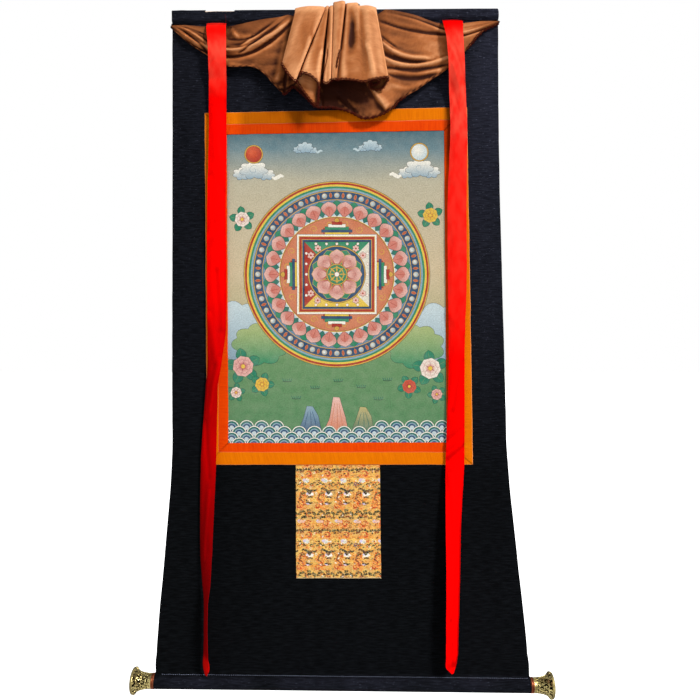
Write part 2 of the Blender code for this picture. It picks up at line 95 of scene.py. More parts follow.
studio = bpy.data.worlds.new("studio")
studio.use_nodes = True
sky = studio.node_tree
seen = sky.nodes["Background"]
seen.inputs["Color"].default_value = (1.0, 1.0, 1.0, 1.0)
seen.inputs["Strength"].default_value = 1.0
lit = sky.nodes.new("ShaderNodeBackground")
lit.inputs["Color"].default_value = (0.95, 0.97, 1.0, 1.0)
lit.inputs["Strength"].default_value = 0.29
path = sky.nodes.new("ShaderNodeLightPath")
choice = sky.nodes.new("ShaderNodeMixShader")
sky.links.new(path.outputs["Is Camera Ray"], choice.inputs[0])
sky.links.new(lit.outputs[0], choice.inputs[1])
sky.links.new(seen.outputs[0], choice.inputs[2])
sky.links.new(choice.outputs[0], sky.nodes["World Output"].inputs["Surface"])
bpy.context.scene.world = studio

# Panel. One length of near-black navy slubbed cotton. Its top edge is folded over a wooden stave
# and sewn down as a sleeve, and its foot is turned up behind the rod and sewn as a pocket.
MM = 0.001
GAP = 0.3
PANEL_CLOTH = 1.5
# The side edges flare below the picture. Columns: z, x on the left, x on the right.
PANEL_EDGES = (
    (4, -325.5, 325.5), (-281, -325.5, 327.4), (-481, -325.8, 332.2),
    (-781, -326.4, 340.2), (-899, -326.8, 344.8), (-1083, -340.4, 363),
    (-1290, -357.6, 384.4), (-1328, -359, 388), (-1400, -359.4, 388.6),
)
TOP_TILT = 2.0
SLEEVE_LEFT_HEIGHT = 26.0
SLEEVE_RIGHT_HEIGHT = 21.4
SLEEVE_PINCH = 4.5
STAVE_THICK = 4.0
SLOT_LEFT = -259.0
SLOT_RIGHT = -200.5
SLOT_DROP = 4.6
ROD_RADIUS = 13.0
ROD_MID_Z = -1345.1
ROD_DROP_PER_MM = 0.01136
POCKET_RADIUS = ROD_RADIUS + GAP + PANEL_CLOTH / 2
POCKET_SEAM_HEIGHT = 22.0
CORNER_ROUND = 3.0
PANEL_COLUMNS = 132
MAIN_ROWS = 128
# Rows of the sleeve: its pinched flap, its front and its turn over the stave.
FLAP_ROWS = 4
FRONT_ROWS = 6
TURN_ROWS = 13
TURN_START = FLAP_ROWS + FRONT_ROWS
TURN_END = TURN_START + TURN_ROWS


def between(a, b, share):
    """The value, or the row of values, a share of the way from a to b."""
    if isinstance(a, tuple):
        return tuple(between(p, q, share) for p, q in zip(a, b))
    return a + (b - a) * share


def ease(low, high, value):
    """0 below low, 1 above high, and a soft step from one to the other."""
    share = min(max((value - low) / (high - low), 0.0), 1.0)
    return share * share * (3 - 2 * share)


def smooth(rows, place):
    """A smooth curve through the rows of a table, at a place counted in rows from the first."""
    row = min(max(int(place), 0), len(rows) - 2)
    share = place - row
    before, after = rows[max(row - 1, 0)], rows[min(row + 2, len(rows) - 1)]
    values = []
    for p, a, b, q in zip(before, rows[row], rows[row + 1], after):
        leave, arrive = (b - p) / 2, (q - a) / 2
        bend = 3 * (b - a) - 2 * leave - arrive
        turn = 2 * (a - b) + leave + arrive
        values.append(a + share * (leave + share * (bend + share * turn)))
    return tuple(values)


def read_table(table, key):
    """The row of a table whose first column falls, read smoothly where that column is key."""
    row = 0
    while row < len(table) - 2 and table[row + 1][0] > key:
        row += 1
    share = (table[row][0] - key) / (table[row][0] - table[row + 1][0])
    return smooth(table, row + min(max(share, 0.0), 1.0))


def wander(x, z, size):
    """Smooth uneven values from about -1 to 1, with lumps of about a size in millimetres."""
    return noise.noise(Vector((x / size, z / size, size)))


def rod_z(x):
    """Height of the rod's axis."""
    return ROD_MID_Z - ROD_DROP_PER_MM * x


def panel_wave(x, z):
    """How far the hanging cloth stands in front of its plane: it is held flat at the stave and
    the rod, ripples a little under the picture, and hangs in soft upright folds below it."""
    held = ease(0, 130, -z) * ease(24, 190, z - ROD_MID_Z)
    low = ease(880, 1010, -z)
    folds = math.sin(x / 27 + 0.7 * math.sin(z / 260)) + 0.6 * math.sin(x / 15.5 + z / 610)
    return held * (1.1 * wander(x, z * 0.5, 170) + low * (0.75 * folds + wander(x, z * 0.4, 90)))


def panel_section(share):
    """Depths and heights of the panel's cloth, from the sleeve's flap to the pocket's hem."""
    top = between(-TOP_TILT, TOP_TILT, share)
    flap = top - between(SLEEVE_LEFT_HEIGHT, SLEEVE_RIGHT_HEIGHT, share)
    front = STAVE_THICK + 2 * GAP + PANEL_CLOTH
    hem = PANEL_CLOTH + GAP
    section = [(hem, flap), (hem + 0.2, flap + 1.0), (hem + 1.8, flap + 2.5),
               (front - 0.6, flap + SLEEVE_PINCH)]
    turn = front / 2
    turn_z = top - PANEL_CLOTH / 2 - turn
    for step in range(1, FRONT_ROWS + 1):
        section.append((front, between(flap + SLEEVE_PINCH, turn_z, step / (FRONT_ROWS + 1))))
    for step in range(TURN_ROWS):
        angle = math.pi * step / (TURN_ROWS - 1)
        section.append((turn + turn * math.cos(angle), turn_z + turn * math.sin(angle)))
    axis = rod_z(between(PANEL_EDGES[-2][1], PANEL_EDGES[-2][2], share))
    seam = axis + POCKET_SEAM_HEIGHT
    for row in range(1, MAIN_ROWS + 1):
        section.append((0.0, between(turn_z, seam, row / MAIN_ROWS)))
    section += [(0.3, seam - 1.5), (1.4, seam - 4.2), (3.4, seam - 6.8)]
    for step in range(37):
        angle = math.radians(between(25.0, 335.0, step / 36))
        section.append((POCKET_RADIUS * math.sin(angle), axis + POCKET_RADIUS * math.cos(angle)))
    section += [(-4.2, seam - 7.0), (-2.6, seam - 4.6), (-2.0, seam - 2.0), (-hem, seam)]
    return section


def new_piece(name, points, faces):
    """A piece from its points at (x, depth, z) in millimetres and its faces."""
    mesh = bpy.data.meshes.new(name)
    mesh.from_pydata([(x * MM, -depth * MM, z * MM) for x, depth, z in points], [], faces)
    piece = bpy.data.objects.new(name, mesh)
    bpy.context.scene.collection.objects.link(piece)
    return piece


def places_of(piece):
    """The x, depth and z of each of a piece's points, in millimetres."""
    return [(x, -y, z) for x, y, z in (vertex.co / MM for vertex in piece.data.vertices)]


def colour_points(piece, name, values):
    """A colour attribute from a grey value, or three values, for each point in turn."""
    layer = piece.data.color_attributes.new(name, "FLOAT_COLOR", "POINT")
    for point, value in zip(layer.data, values):
        point.color = (*value, 1.0) if isinstance(value, tuple) else (value, value, value, 1.0)


def cloth_mesh(name, grid, flat, skip=lambda row, column: False, tones=None):
    """A sheet with its points at (x, depth, z) in a grid, and its UV map from flat places in
    millimetres. A point that is None and a cell that skip names are left out. Tones of painted
    shade and highlight, from 0 in a groove to 1 on a ridge, go into an attribute for the material."""
    numbers, points, faces, places = {}, [], [], []
    for r, row in enumerate(grid):
        for c, point in enumerate(row):
            if point is not None:
                numbers[r, c] = len(points)
                points.append(point)
    for r in range(len(grid) - 1):
        for c in range(len(grid[0]) - 1):
            corners = ((r, c), (r + 1, c), (r + 1, c + 1), (r, c + 1))
            if all(corner in numbers for corner in corners) and not skip(r, c):
                faces.append([numbers[corner] for corner in corners])
                places += [flat[row][column] for row, column in corners]
    piece = new_piece(name, points, faces)
    for corner, (u, v) in zip(piece.data.uv_layers.new(name="cloth").data, places):
        corner.uv = (u * MM, v * MM)
    if tones:
        colour_points(piece, "tone", [tones[r][c] for r, c in numbers])
    return piece


def choose(piece):
    """Makes a piece the one that Blender's tools work on."""
    bpy.ops.object.select_all(action="DESELECT")
    piece.select_set(True)
    bpy.context.view_layer.objects.active = piece


def edit_whole(piece, tool, **settings):
    """Runs an editing tool on the whole of a piece's mesh."""
    choose(piece)
    bpy.ops.object.mode_set(mode="EDIT")
    bpy.ops.mesh.select_all(action="SELECT")
    tool(**settings)
    bpy.ops.object.mode_set(mode="OBJECT")


def thicken(piece, thickness, offset=0.0):
    """The sheet gets its thickness in millimetres, closed at its rims, and is shaded smooth."""
    edit_whole(piece, bpy.ops.mesh.delete_loose)
    wall = piece.modifiers.new("Cloth", "SOLIDIFY")
    wall.thickness = thickness * MM
    wall.offset = offset
    wall.use_even_offset = False
    bpy.ops.object.modifier_apply(modifier=wall.name)
    bpy.ops.object.shade_smooth_by_angle(angle=math.radians(50))


def tint(red, green, blue):
    """A colour picked on a screen, as the shader's linear one."""
    linear = [((c / 255 + 0.055) / 1.055) ** 2.4 if c > 10 else c / 3294.6
              for c in (red, green, blue)]
    return (*linear, 1.0)


def add_node(tree, kind, settings=None, **inputs):
    """A shader node. An input that is a socket is linked, and any other is set."""
    made = tree.nodes.new("ShaderNode" + kind)
    for key, value in (settings or {}).items():
        setattr(made, key, value)
    for key, value in inputs.items():
        socket = made.inputs[int(key[1:])] if key[1:].isdigit() else made.inputs[key]
        if isinstance(value, bpy.types.NodeSocket):
            tree.links.new(value, socket)
        else:
            socket.default_value = value
    return made


def mix(tree, share, first, second, blend="MIX"):
    """A node that mixes two colours."""
    settings = {"data_type": "RGBA", "blend_type": blend}
    return add_node(tree, "Mix", settings, _0=share, _6=first, _7=second).outputs[2]


def sum_of(tree, operation, first, second, third=0.0):
    """A node that works one number out of others."""
    return add_node(tree, "Math", {"operation": operation}, _0=first, _1=second,
                    _2=third).outputs[0]


def laid(tree, colour, amount, strength, over, blend="MIX"):
    """A colour with another laid over it, by a strength times an amount."""
    return mix(tree, sum_of(tree, "MULTIPLY", amount, strength), colour, over, blend)


def ranged(tree, value, low, high, start=0.0, end=1.0):
    """A value that goes from start to end while another goes from low to high."""
    return add_node(tree, "MapRange", Value=value, _1=low, _2=high, _3=start, _4=end).outputs[0]


def lumps(tree, place, scale, detail=2.0, low=0.3, high=0.7):
    """Noise from 0 to 1 at a place, stretched by a scale per metre along each axis."""
    stretched = add_node(tree, "Mapping", Vector=place, Scale=scale).outputs[0]
    rough = add_node(tree, "TexNoise", Vector=stretched, Scale=1.0, Detail=detail).outputs["Fac"]
    return ranged(tree, rough, low, high)


def ribbing(tree, place, direction, pitch, distortion=0.6, detail=1.0):
    """Height of ribs that lie a pitch in millimetres apart."""
    return add_node(tree, "TexWave", {"bands_direction": direction}, Vector=place, Detail=detail,
                    Scale=math.tau / 20 / (pitch * MM), Distortion=distortion).outputs["Fac"]


def threads(tree, place, across, along):
    """Height of a plain weave with threads of two widths in millimetres."""
    return sum_of(tree, "MULTIPLY", ribbing(tree, place, "X", across),
                  ribbing(tree, place, "Y", along))


def tone_of(tree, layer="tone"):
    """The colour that an attribute of the mesh holds."""
    return add_node(tree, "VertexColor", {"layer_name": layer}).outputs["Color"]


def plain_material(name, roughness, specular=0.5):
    """A material, its node tree and its shader."""
    material = bpy.data.materials.new(name)
    material.use_nodes = True
    shader = material.node_tree.nodes["Principled BSDF"]
    shader.inputs["Roughness"].default_value = roughness
    shader.inputs["Specular IOR Level"].default_value = specular
    return material, material.node_tree, shader


def cloth_material(name, roughness, specular):
    """The same for a cloth, and a point's place on the flat cloth in metres."""
    material, tree, shader = plain_material(name, roughness, specular)
    return material, tree, shader, add_node(tree, "UVMap", {"uv_map": "cloth"}).outputs[0]


def raise_threads(tree, shader, height, depth):
    """Bump of a depth in millimetres from a height."""
    bump = add_node(tree, "Bump", Height=height, Distance=depth * MM, Strength=1.0)
    tree.links.new(bump.outputs[0], shader.inputs["Normal"])


panel_columns = [n / PANEL_COLUMNS for n in range(PANEL_COLUMNS + 1)]
for slot_x in (SLOT_LEFT, SLOT_RIGHT):
    slot_share = (slot_x - PANEL_EDGES[0][1]) / (PANEL_EDGES[0][2] - PANEL_EDGES[0][1])
    nearest = min(range(1, PANEL_COLUMNS), key=lambda n: abs(panel_columns[n] - slot_share))
    panel_columns[nearest] = slot_share
panel_grid, panel_flat = [], []
for share in panel_columns:
    line, flat_line, length = [], [], 0.0
    section = panel_section(share)
    for number, (depth, z) in enumerate(section):
        _, left, right = read_table(PANEL_EDGES, z)
        edge = 0.35 * wander(900 * round(share), z, 55) + 0.25 * wander(300, z, 17)
        corner = CORNER_ROUND * max(0.0, 1 - (TOP_TILT - z) / 8) ** 2
        x = between(left + corner + edge, right - corner + edge, share)
        if number <= TURN_END:
            z += 0.35 * wander(x, 0, 60) + 0.5 * math.exp(-((x + 306) / 9) ** 2)
        depth += panel_wave(x, z)
        if line:
            length += math.hypot(depth - line[-1][1], z - line[-1][2])
        line.append((x, depth, z))
        flat_line.append((x, -length))
    panel_grid.append(line)
    panel_flat.append(flat_line)
# Over the stave's bare stretch the top fold is cut away and the flap's edge slopes.
for line in panel_grid:
    x = line[TURN_START][0]
    if SLOT_LEFT - 1 < x < SLOT_RIGHT + 1:
        drop = between(SLOT_DROP, 0.8, (x - SLOT_LEFT) / (SLOT_RIGHT - SLOT_LEFT))
        for row in range(TURN_START - 3, TURN_START + 1):
            depth, z = line[row][1:]
            line[row] = (x, depth, min(z, -TOP_TILT - drop + 0.8 * (row - TURN_START)))


def in_slot(column, row):
    """Whether a cell of the panel lies in the cut that shows the stave."""
    middle = (panel_grid[column][0][0] + panel_grid[column + 1][0][0]) / 2
    return SLOT_LEFT < middle < SLOT_RIGHT and TURN_START <= row < TURN_END - 3


panel = cloth_mesh("navy_panel", panel_grid, panel_flat, in_slot)
thicken(panel, PANEL_CLOTH)
navy, tree, shader, place = cloth_material("navy_cotton", 0.85, 0.04)
streaks = lumps(tree, place, (48, 430, 1), 3.0, 0.4, 0.7)
fuzz = lumps(tree, place, (150, 800, 1), 1.0, 0.68, 0.76)
clouds = lumps(tree, place, (9, 3, 1))
slubs = lumps(tree, place, (60, 900, 1), 1.0, 0.5, 0.8)
# Painted sheen: the navy is painted lighter towards the top and the right, where the light comes
# from. Worked out in metres of the flat cloth.
flat_axes = add_node(tree, "SeparateXYZ", Vector=place)
painted_sheen = sum_of(tree, "MULTIPLY_ADD", flat_axes.outputs["X"], 0.75, 0.53)
down = sum_of(tree, "MULTIPLY_ADD", flat_axes.outputs["Y"], 1.0, 1.0)
painted_sheen = sum_of(tree, "MULTIPLY", painted_sheen, sum_of(tree, "MAXIMUM", down, 0.04))
uneven = sum_of(tree, "MULTIPLY_ADD", streaks, 1.0,
                sum_of(tree, "MULTIPLY_ADD", clouds, 0.5, 0.25))
# A painted highlight along the crown of the pocket round the rod.
crown = ranged(tree, flat_axes.outputs["Y"], -1.354, -1.366, 0.0, 0.24)
crown = sum_of(tree, "MULTIPLY", crown, sum_of(tree, "MULTIPLY_ADD", clouds, 1.2, 0.4))
painted_sheen = sum_of(tree, "ADD", painted_sheen, crown)
ground = laid(tree, tint(3, 4, 5), painted_sheen, uneven, tint(45, 46, 60))
ground = laid(tree, ground, streaks, 0.22, tint(34, 38, 42))
ground = laid(tree, ground, fuzz, sum_of(tree, "MULTIPLY", painted_sheen, 0.9), tint(120, 124, 146))
tree.links.new(ground, shader.inputs["Base Color"])
raise_threads(tree, shader, sum_of(tree, "ADD", threads(tree, place, 0.9, 0.7), slubs), 0.25)
panel.data.materials.append(navy)
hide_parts("mount_panel")
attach(panel, "root")

# Stave and rod. A flat lath of bare pale wood stiffens the top, and a stained round rod fills
# the pocket. Both are plain planed stock and show only where the cloth leaves them bare.
# Columns: node, slot, early wood, late wood, roughness.
WOODS = (
    ("top_stave", "pale_wood", tint(243, 222, 200), tint(214, 178, 150), 0.6),
    ("bottom_rod", "rod_wood", tint(128, 74, 46), tint(84, 42, 26), 0.45),
)
for node_name, slot_name, early, late, roughness in WOODS:
    wood, tree, shader = plain_material(slot_name + "_grain", roughness)
    place = add_node(tree, "TexCoord").outputs["Object"]
    grain = lumps(tree, place, (6, 900, 900), 4.0)
    pores = lumps(tree, place, (90, 2600, 2600), 1.0, 0.55, 0.8)
    colour = laid(tree, mix(tree, grain, early, late), pores, 0.4, late, "MULTIPLY")
    tree.links.new(colour, shader.inputs["Base Color"])
    raise_threads(tree, shader, sum_of(tree, "SUBTRACT", grain, pores), 0.15)
    node_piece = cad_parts[node_name]
    node_piece.data.materials.clear()
    node_piece.data.materials.append(wood)

# Borders. Two mitred frames of ribbed silk, orange-yellow outside and vermilion inside, pieced
# from four strips each. Their edges are turned under, and they are sewn down through the panel.
CANVAS_CORNERS = ((-216.6, -248.7), (217.3, -240.7), (222.9, -864.0), (-213.6, -865.0))
INNER_CORNERS = ((-237.0, -228.7), (238.3, -218.7), (244.3, -883.6), (-233.2, -883.6))
OUTER_CORNERS = ((-261.2, -205.7), (263.6, -193.7), (275.2, -908.5), (-256.6, -908.5))
SIDES = ("top", "right", "bottom", "left")
SEWN_BACK = PANEL_CLOTH / 2 + GAP
STRIP_CLOTH = 0.8
STRIP_CROWN = 1.05
STRIP_STEP = 3.2
STITCH_PITCH = 5.4
PUCKER = 0.16
MITRE_DIP = 0.4
# Columns: name, slot, outside corners, inside corners, roll at the outer edge, its radius,
# silk in light and in dark.
FRAMES = (
    ("outer_silk", "outer_border", "yellow_silk", OUTER_CORNERS, INNER_CORNERS, 0.15, 1.3,
     tint(232, 124, 2), tint(206, 94, 0)),
    ("inner_silk", "inner_border", "vermilion_silk", INNER_CORNERS, CANVAS_CORNERS, 0.5, 0.9,
     tint(236, 80, 4), tint(206, 44, 0)),
)


def sewn(x, z, height):
    """A place on what is sewn to the panel: it follows the panel, and hand cutting has left
    its lines a little uneven."""
    depth = SEWN_BACK + panel_wave(x, z) + height
    return (x + 0.6 * wander(x, z, 47) + 0.25 * wander(x, z, 12),
            depth, z + 0.6 * wander(x + 700, z, 47) + 0.25 * wander(x + 700, z, 12))


def rolled(distance, low, high, radius):
    """Height of a turned edge, rising from low to high over its radius."""
    inward = min(max(distance / radius, 0.0), 1.0)
    return low + (high - low) * math.sqrt(1 - (1 - inward) ** 2)


def border_strip(name, outer, inner, low, radius):
    """A strip between its outer edge and its inner edge, with its ends on the mitres."""
    width = abs((outer[1][0] - outer[0][0]) * (inner[0][1] - outer[0][1])
                - (outer[1][1] - outer[0][1]) * (inner[0][0] - outer[0][0]))
    width /= math.dist(*outer)
    # across the strip: close together over its two turned edges
    stations = [0, 0.25, 0.6, 1.0, 1.6, 2.6, 4.0]
    stations += [between(4.0, width - 3.0, step / 5) for step in range(1, 6)]
    stations += [width - 1.8, width - 1.0, width - 0.5, width - 0.2, width]
    count = round(math.dist(*outer) / STRIP_STEP)
    grid, flat = [], []
    for station in stations:
        share = station / width
        start, end = between(outer[0], inner[0], share), between(outer[1], inner[1], share)
        length = math.dist(start, end)
        line, flat_line = [], []
        for step in range(count + 1):
            x, z = between(start, end, step / count)
            along = station + length * step / count
            height = min(rolled(station, low, STRIP_CROWN, radius),
                         rolled(width - station, 0.5, STRIP_CROWN, 1.0))
            pull = math.exp(-((station - 2.2) / 1.6) ** 2)
            pull += math.exp(-((width - station - 1.6) / 1.3) ** 2)
            height -= PUCKER * pull * (1 + math.cos(math.tau * along / STITCH_PITCH)) / 2
            mitre = min(step, count - step) / count * length * 0.7
            height -= MITRE_DIP * math.exp(-(mitre / 0.9) ** 2)
            height += 0.22 * wander(x, z, 26)
            line.append(sewn(x, z, max(height, 0.1)))
            flat_line.append((along, station))
        grid.append(line)
        flat.append(flat_line)
    piece = cloth_mesh(name, grid, flat)
    thicken(piece, STRIP_CLOTH, offset=-1.0)
    return piece, width


def near_mitre(x, z):
    """Darker along the mitre seams, where the strips' turned ends meet."""
    for outer, inner in zip(OUTER_CORNERS, CANVAS_CORNERS):
        run = math.dist(outer, inner)
        along = ((x - outer[0]) * (inner[0] - outer[0]) + (z - outer[1]) * (inner[1] - outer[1]))
        off = abs((x - outer[0]) * (inner[1] - outer[1]) - (z - outer[1]) * (inner[0] - outer[0]))
        if -2 < along / run < run + 2:
            return 1 - 0.55 * math.exp(-(off / run) ** 2)
    return 1.0


def mitres_and_painted_shadow(x, z):
    """The mitres' shade, and painted shadow on the top strips beneath the veil and beside the right
    ribbon.
    """
    along = ease(-204, -176, x) * ease(-34, 6, -x) * ease(-250, -246, z)
    heavy = math.exp(-((x + 58) / 30) ** 2) * ease(-250, -246, z)
    outer_strip = ease(-231, -226, z)
    beside_ribbon = ease(213, 222, x) * ease(-250, -232, -x) * ease(-330, -270, z)
    # clean is the share that the painted shadow leaves; the outer strip takes more of it.
    clean = (1 - along * (0.24 + 0.16 * outer_strip)) * (1 - heavy * 0.34 * outer_strip)
    return near_mitre(x, z) * clean * (1 - 0.6 * beside_ribbon)


for silk_name, prefix, slot_name, outside, inside, low, radius, light, dark in FRAMES:
    silk, tree, shader, place = cloth_material(silk_name, 0.6, 0.02)
    ribs = ribbing(tree, place, "X", 1.1, 1.5, 2.0)
    slubs = lumps(tree, place, (700, 30, 1), 3.0)
    body = mix(tree, sum_of(tree, "MULTIPLY_ADD", slubs, 0.6, 0.2), light, dark)
    body = laid(tree, body, lumps(tree, place, (16, 24, 1)), 0.35, light)
    station = add_node(tree, "SeparateXYZ", Vector=place).outputs["Y"]
    # The turned outer edge is painted paler: partly rubbed wear, partly a painted highlight where
    # light catches the roll.
    rubbed_and_highlit = ranged(tree, station, 0.0003, 0.0012, 0.4, 0.0)
    body = mix(tree, rubbed_and_highlit, body, tint(255, 180, 132))
    tree.links.new(mix(tree, 1.0, body, tone_of(tree), "MULTIPLY"), shader.inputs["Base Color"])
    raise_threads(tree, shader, sum_of(tree, "ADD", ribs, slubs), 0.12)
    for n, side in enumerate(SIDES):
        after = (n + 1) % 4
        name = prefix + "_" + side
        strip, width = border_strip("silk_" + name, (outside[n], outside[after]),
                                    (inside[n], inside[after]), low, radius)
        colour_points(strip, "tone", [mitres_and_painted_shadow(x, z) for x, _, z in places_of(strip)])
        strip.data.materials.append(silk)
        length = math.dist(outside[n], outside[after])
        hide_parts(name)
        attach(strip, "root")

# Painted canvas. Primed cotton under matt mineral paint, sewn in behind the borders' inner edges.
# It carries a generic design: a lotus mandala over hills and water, with a sun, a moon and
# peonies. Every shape is an outline of its own, and the one drawn last lies on top.
CANVAS_CLOTH = 0.12
CANVAS_HEIGHT = 0.14
TUCKED_UNDER = 1.8
PICTURE_STEP = 7.0
LINE = 0.55


def grown(outline, distance):
    """An outline that runs round to the left, moved out by a distance."""
    moved = []
    for n, (x, z) in enumerate(outline):
        (ax, az), (bx, bz) = outline[n - 1], outline[(n + 1) % len(outline)]
        run = math.hypot(bx - ax, bz - az) or 1.0
        moved.append((x + (bz - az) / run * distance, z - (bx - ax) / run * distance))
    return moved


def disc(x, z, radius, count=None):
    """A round."""
    count = count or max(10, round(6 * math.sqrt(radius)))
    turns = [math.tau * n / count for n in range(count)]
    return [(x + radius * math.cos(turn), z + radius * math.sin(turn)) for turn in turns]


def scallop(x, z, across, up, lobes, bulge, start=0.0):
    """A cloud or a full flower: a round with lobes."""
    outline = []
    for n in range(lobes * 6):
        turn = math.tau * n / (lobes * 6)
        reach = 1 + bulge * (abs(math.sin(lobes * turn / 2)) - 0.6)
        outline.append((x + across * reach * math.cos(turn + start),
                        z + up * reach * math.sin(turn + start)))
    return outline


def petal(x, z, turn, near, far, half, full=0.62, steps=7):
    """A petal or a leaf, from near to far along a turn about a centre, widest at full."""
    sides = []
    for n in range(1, steps):
        share = n / steps
        lean = share ** (math.log(0.5) / math.log(full))
        sides.append((between(near, far, share), half * math.sin(math.pi * lean) ** 0.75))
    outline = [(near, 0.0)] + [(r, -w) for r, w in sides] + [(far, 0.0)]
    outline += [(r, w) for r, w in reversed(sides)]
    cos, sin = math.cos(turn), math.sin(turn)
    return [(x + r * cos - w * sin, z + r * sin + w * cos) for r, w in outline]


def stroke(points, width):
    """A brush line along points, tapered at its ends."""
    right, left = [], []
    for n, (x, z) in enumerate(points):
        (ax, az), (bx, bz) = points[max(n - 1, 0)], points[min(n + 1, len(points) - 1)]
        run = math.hypot(bx - ax, bz - az) or 1.0
        half = width / 2 * (0.25 + 0.75 * math.sin(math.pi * (n + 0.5) / len(points)))
        right.append((x + (bz - az) / run * half, z - (bx - ax) / run * half))
        left.append((x - (bz - az) / run * half, z + (bx - ax) / run * half))
    return right + left[::-1]


def curl(x, z, size, turn, way=1, rounds=1.25, steps=14):
    """The line of a scroll that winds in."""
    line = []
    for n in range(steps + 1):
        share = n / steps
        angle = turn + way * math.tau * rounds * share
        reach = size * (1 - 0.82 * share)
        line.append((x + reach * math.cos(angle), z + reach * math.sin(angle)))
    return line


def fade(first, second, start, end):
    """A colour that goes from one to another between two places."""
    run = (end[0] - start[0], end[1] - start[1])
    size = run[0] ** 2 + run[1] ** 2

    def colour(x, z):
        share = ((x - start[0]) * run[0] + (z - start[1]) * run[1]) / size
        return between(first, second, min(max(share, 0.0), 1.0))
    return colour


def glow(first, second, x, z, near, far):
    """A colour that goes from one to another between two distances from a centre."""
    def colour(px, pz):
        share = (math.hypot(px - x, pz - z) - near) / (far - near)
        return between(first, second, min(max(share, 0.0), 1.0))
    return colour


INK = tint(38, 40, 48)
CREAM = tint(246, 240, 224)
GOLD = tint(212, 166, 70)
RED = tint(172, 52, 40)
ROSE = tint(214, 134, 118)
BLUSH = tint(236, 190, 176)
CLAY = tint(206, 122, 86)
JADE = tint(46, 138, 100)
TEAL = tint(32, 108, 98)
BLUE = tint(42, 78, 114)
MIST = tint(140, 168, 182)
PALE = tint(196, 212, 214)
LEAF = tint(112, 148, 88)
STRAW = tint(232, 196, 74)
# Ground of the picture, down the canvas. Columns: z, colour.
SKY_AND_FIELD = (
    (-236, tint(62, 100, 112)),
    (-278, tint(112, 138, 144)),
    (-345, tint(190, 182, 156)),
    (-520, tint(208, 188, 152)),
    (-640, tint(176, 172, 130)),
    (-700, tint(104, 146, 98)),
    (-870, tint(84, 134, 92)),
)
shapes = []


def draw(outline, colour, line=None, width=LINE):
    """Adds a shape, with a line round it in another colour."""
    if line:
        shapes.append((grown(outline, width), line))
    shapes.append((outline, colour))


def sky_and_field(x, z):
    """The picture's ground, its bands a little uneven."""
    z += 5 * wander(x, z, 60)
    row = 0
    while row < len(SKY_AND_FIELD) - 2 and SKY_AND_FIELD[row + 1][0] > z:
        row += 1
    (high, first), (low, second) = SKY_AND_FIELD[row:row + 2]
    return between(first, second, min(max((high - z) / (high - low), 0.0), 1.0))


def peony(x, z, size, light, deep, start):
    """Leaves, two rounds of petals and a heart."""
    for n in range(5):
        turn = start + 0.4 + math.tau * n / 5
        tip = (x + 1.75 * size * math.cos(turn), z + 1.75 * size * math.sin(turn))
        draw(petal(x, z, turn, 0.5 * size, 1.75 * size, 0.5 * size, 0.5),
             fade(TEAL, JADE, (x, z), tip), INK)
        draw(stroke([between((x, z), tip, s) for s in (0.5, 0.7, 0.9)], 0.8), LEAF)
    for reach, count, shift in ((1.0, 8, 0.0), (0.66, 6, 0.4)):
        for n in range(count):
            turn = start + shift + math.tau * n / count
            draw(petal(x, z, turn, 0.08 * size, reach * size, 0.4 * size * reach, 0.72, 6),
                 glow(deep, light, x, z, 0.15 * size, reach * size), tint(150, 80, 84), 0.4)
    draw(disc(x, z, 0.2 * size), STRAW, RED, 0.5)


def cloud(x, z, size, light, deep, way):
    """Three lobed heaps with a curl in each."""
    for dx, dz, part in ((0.95, -0.25, 0.62), (-0.9, -0.2, 0.66), (0.0, 0.1, 1.0)):
        cx, cz = x + way * dx * size, z + dz * size
        draw(scallop(cx, cz, part * size, 0.66 * part * size, 7, 0.3, 0.3),
             fade(deep, light, (cx, cz - 0.7 * part * size), (cx, cz + 0.5 * part * size)), INK)
        draw(stroke(curl(cx, cz, 0.4 * part * size, 0.5, way), 0.9), deep)
    tail = [(x + way * size * (1.4 + 0.9 * s), z - size * (0.45 + 0.12 * math.sin(6 * s)))
            for s in (0, 0.25, 0.5, 0.75, 1.0)]
    draw(stroke(tail, 0.3 * size), light)


def tuft(x, z):
    """A tuft of grass."""
    for lean in (-0.7, -0.35, 0.0, 0.35, 0.7):
        blade = [(x + 9 * lean + 5 * lean * s, z + 5.5 * s) for s in (0, 0.5, 1.0)]
        draw(stroke(blade, 1.3), TEAL)
    draw(stroke([(x - 9, z), (x - 3, z - 0.8), (x + 3, z - 0.8), (x + 9, z)], 1.0), INK)


# Centre of the medallion.
mx, mz = 3.2, -528.0


def from_centre(turn, reach):
    """A place at a turn and a reach from the medallion's centre."""
    return mx + reach * math.cos(turn), mz + reach * math.sin(turn)


def rings(*rows):
    """Rounds about the medallion's centre, from outside in, each with its radius and colour."""
    for radius, colour in rows:
        draw(disc(mx, mz, radius), colour)


# Far hills, one behind the other, at each side of the medallion.
NEAR_HILL = tint(166, 182, 120)
for hill_x, hill_z, across, up, light, deep in (
        (-196, -640, 62, 56, PALE, MIST), (205, -648, 66, 60, PALE, MIST),
        (-150, -668, 54, 40, NEAR_HILL, JADE), (160, -672, 56, 42, NEAR_HILL, JADE)):
    draw(scallop(hill_x, hill_z, across, up, 9, 0.16),
         fade(deep, light, (hill_x, hill_z - up), (hill_x, hill_z + 0.8 * up)), INK)
# Sun and moon on clouds, and two small clouds between them.
for x, z, size, light, way in ((-163, -322, 26, CREAM, 1), (168, -318, 26, CREAM, -1),
                               (-60, -276, 15, PALE, 1), (70, -272, 15, PALE, -1)):
    cloud(x, z, size, light, MIST, way)
for x, z, light, deep in ((-163, -288, tint(222, 96, 58), RED), (168, -284, CREAM, PALE)):
    draw(disc(x, z, 18.5), GOLD, INK)
    draw(disc(x, z, 16.0), glow(light, deep, x - 4, z + 4, 2, 20), INK, 0.4)

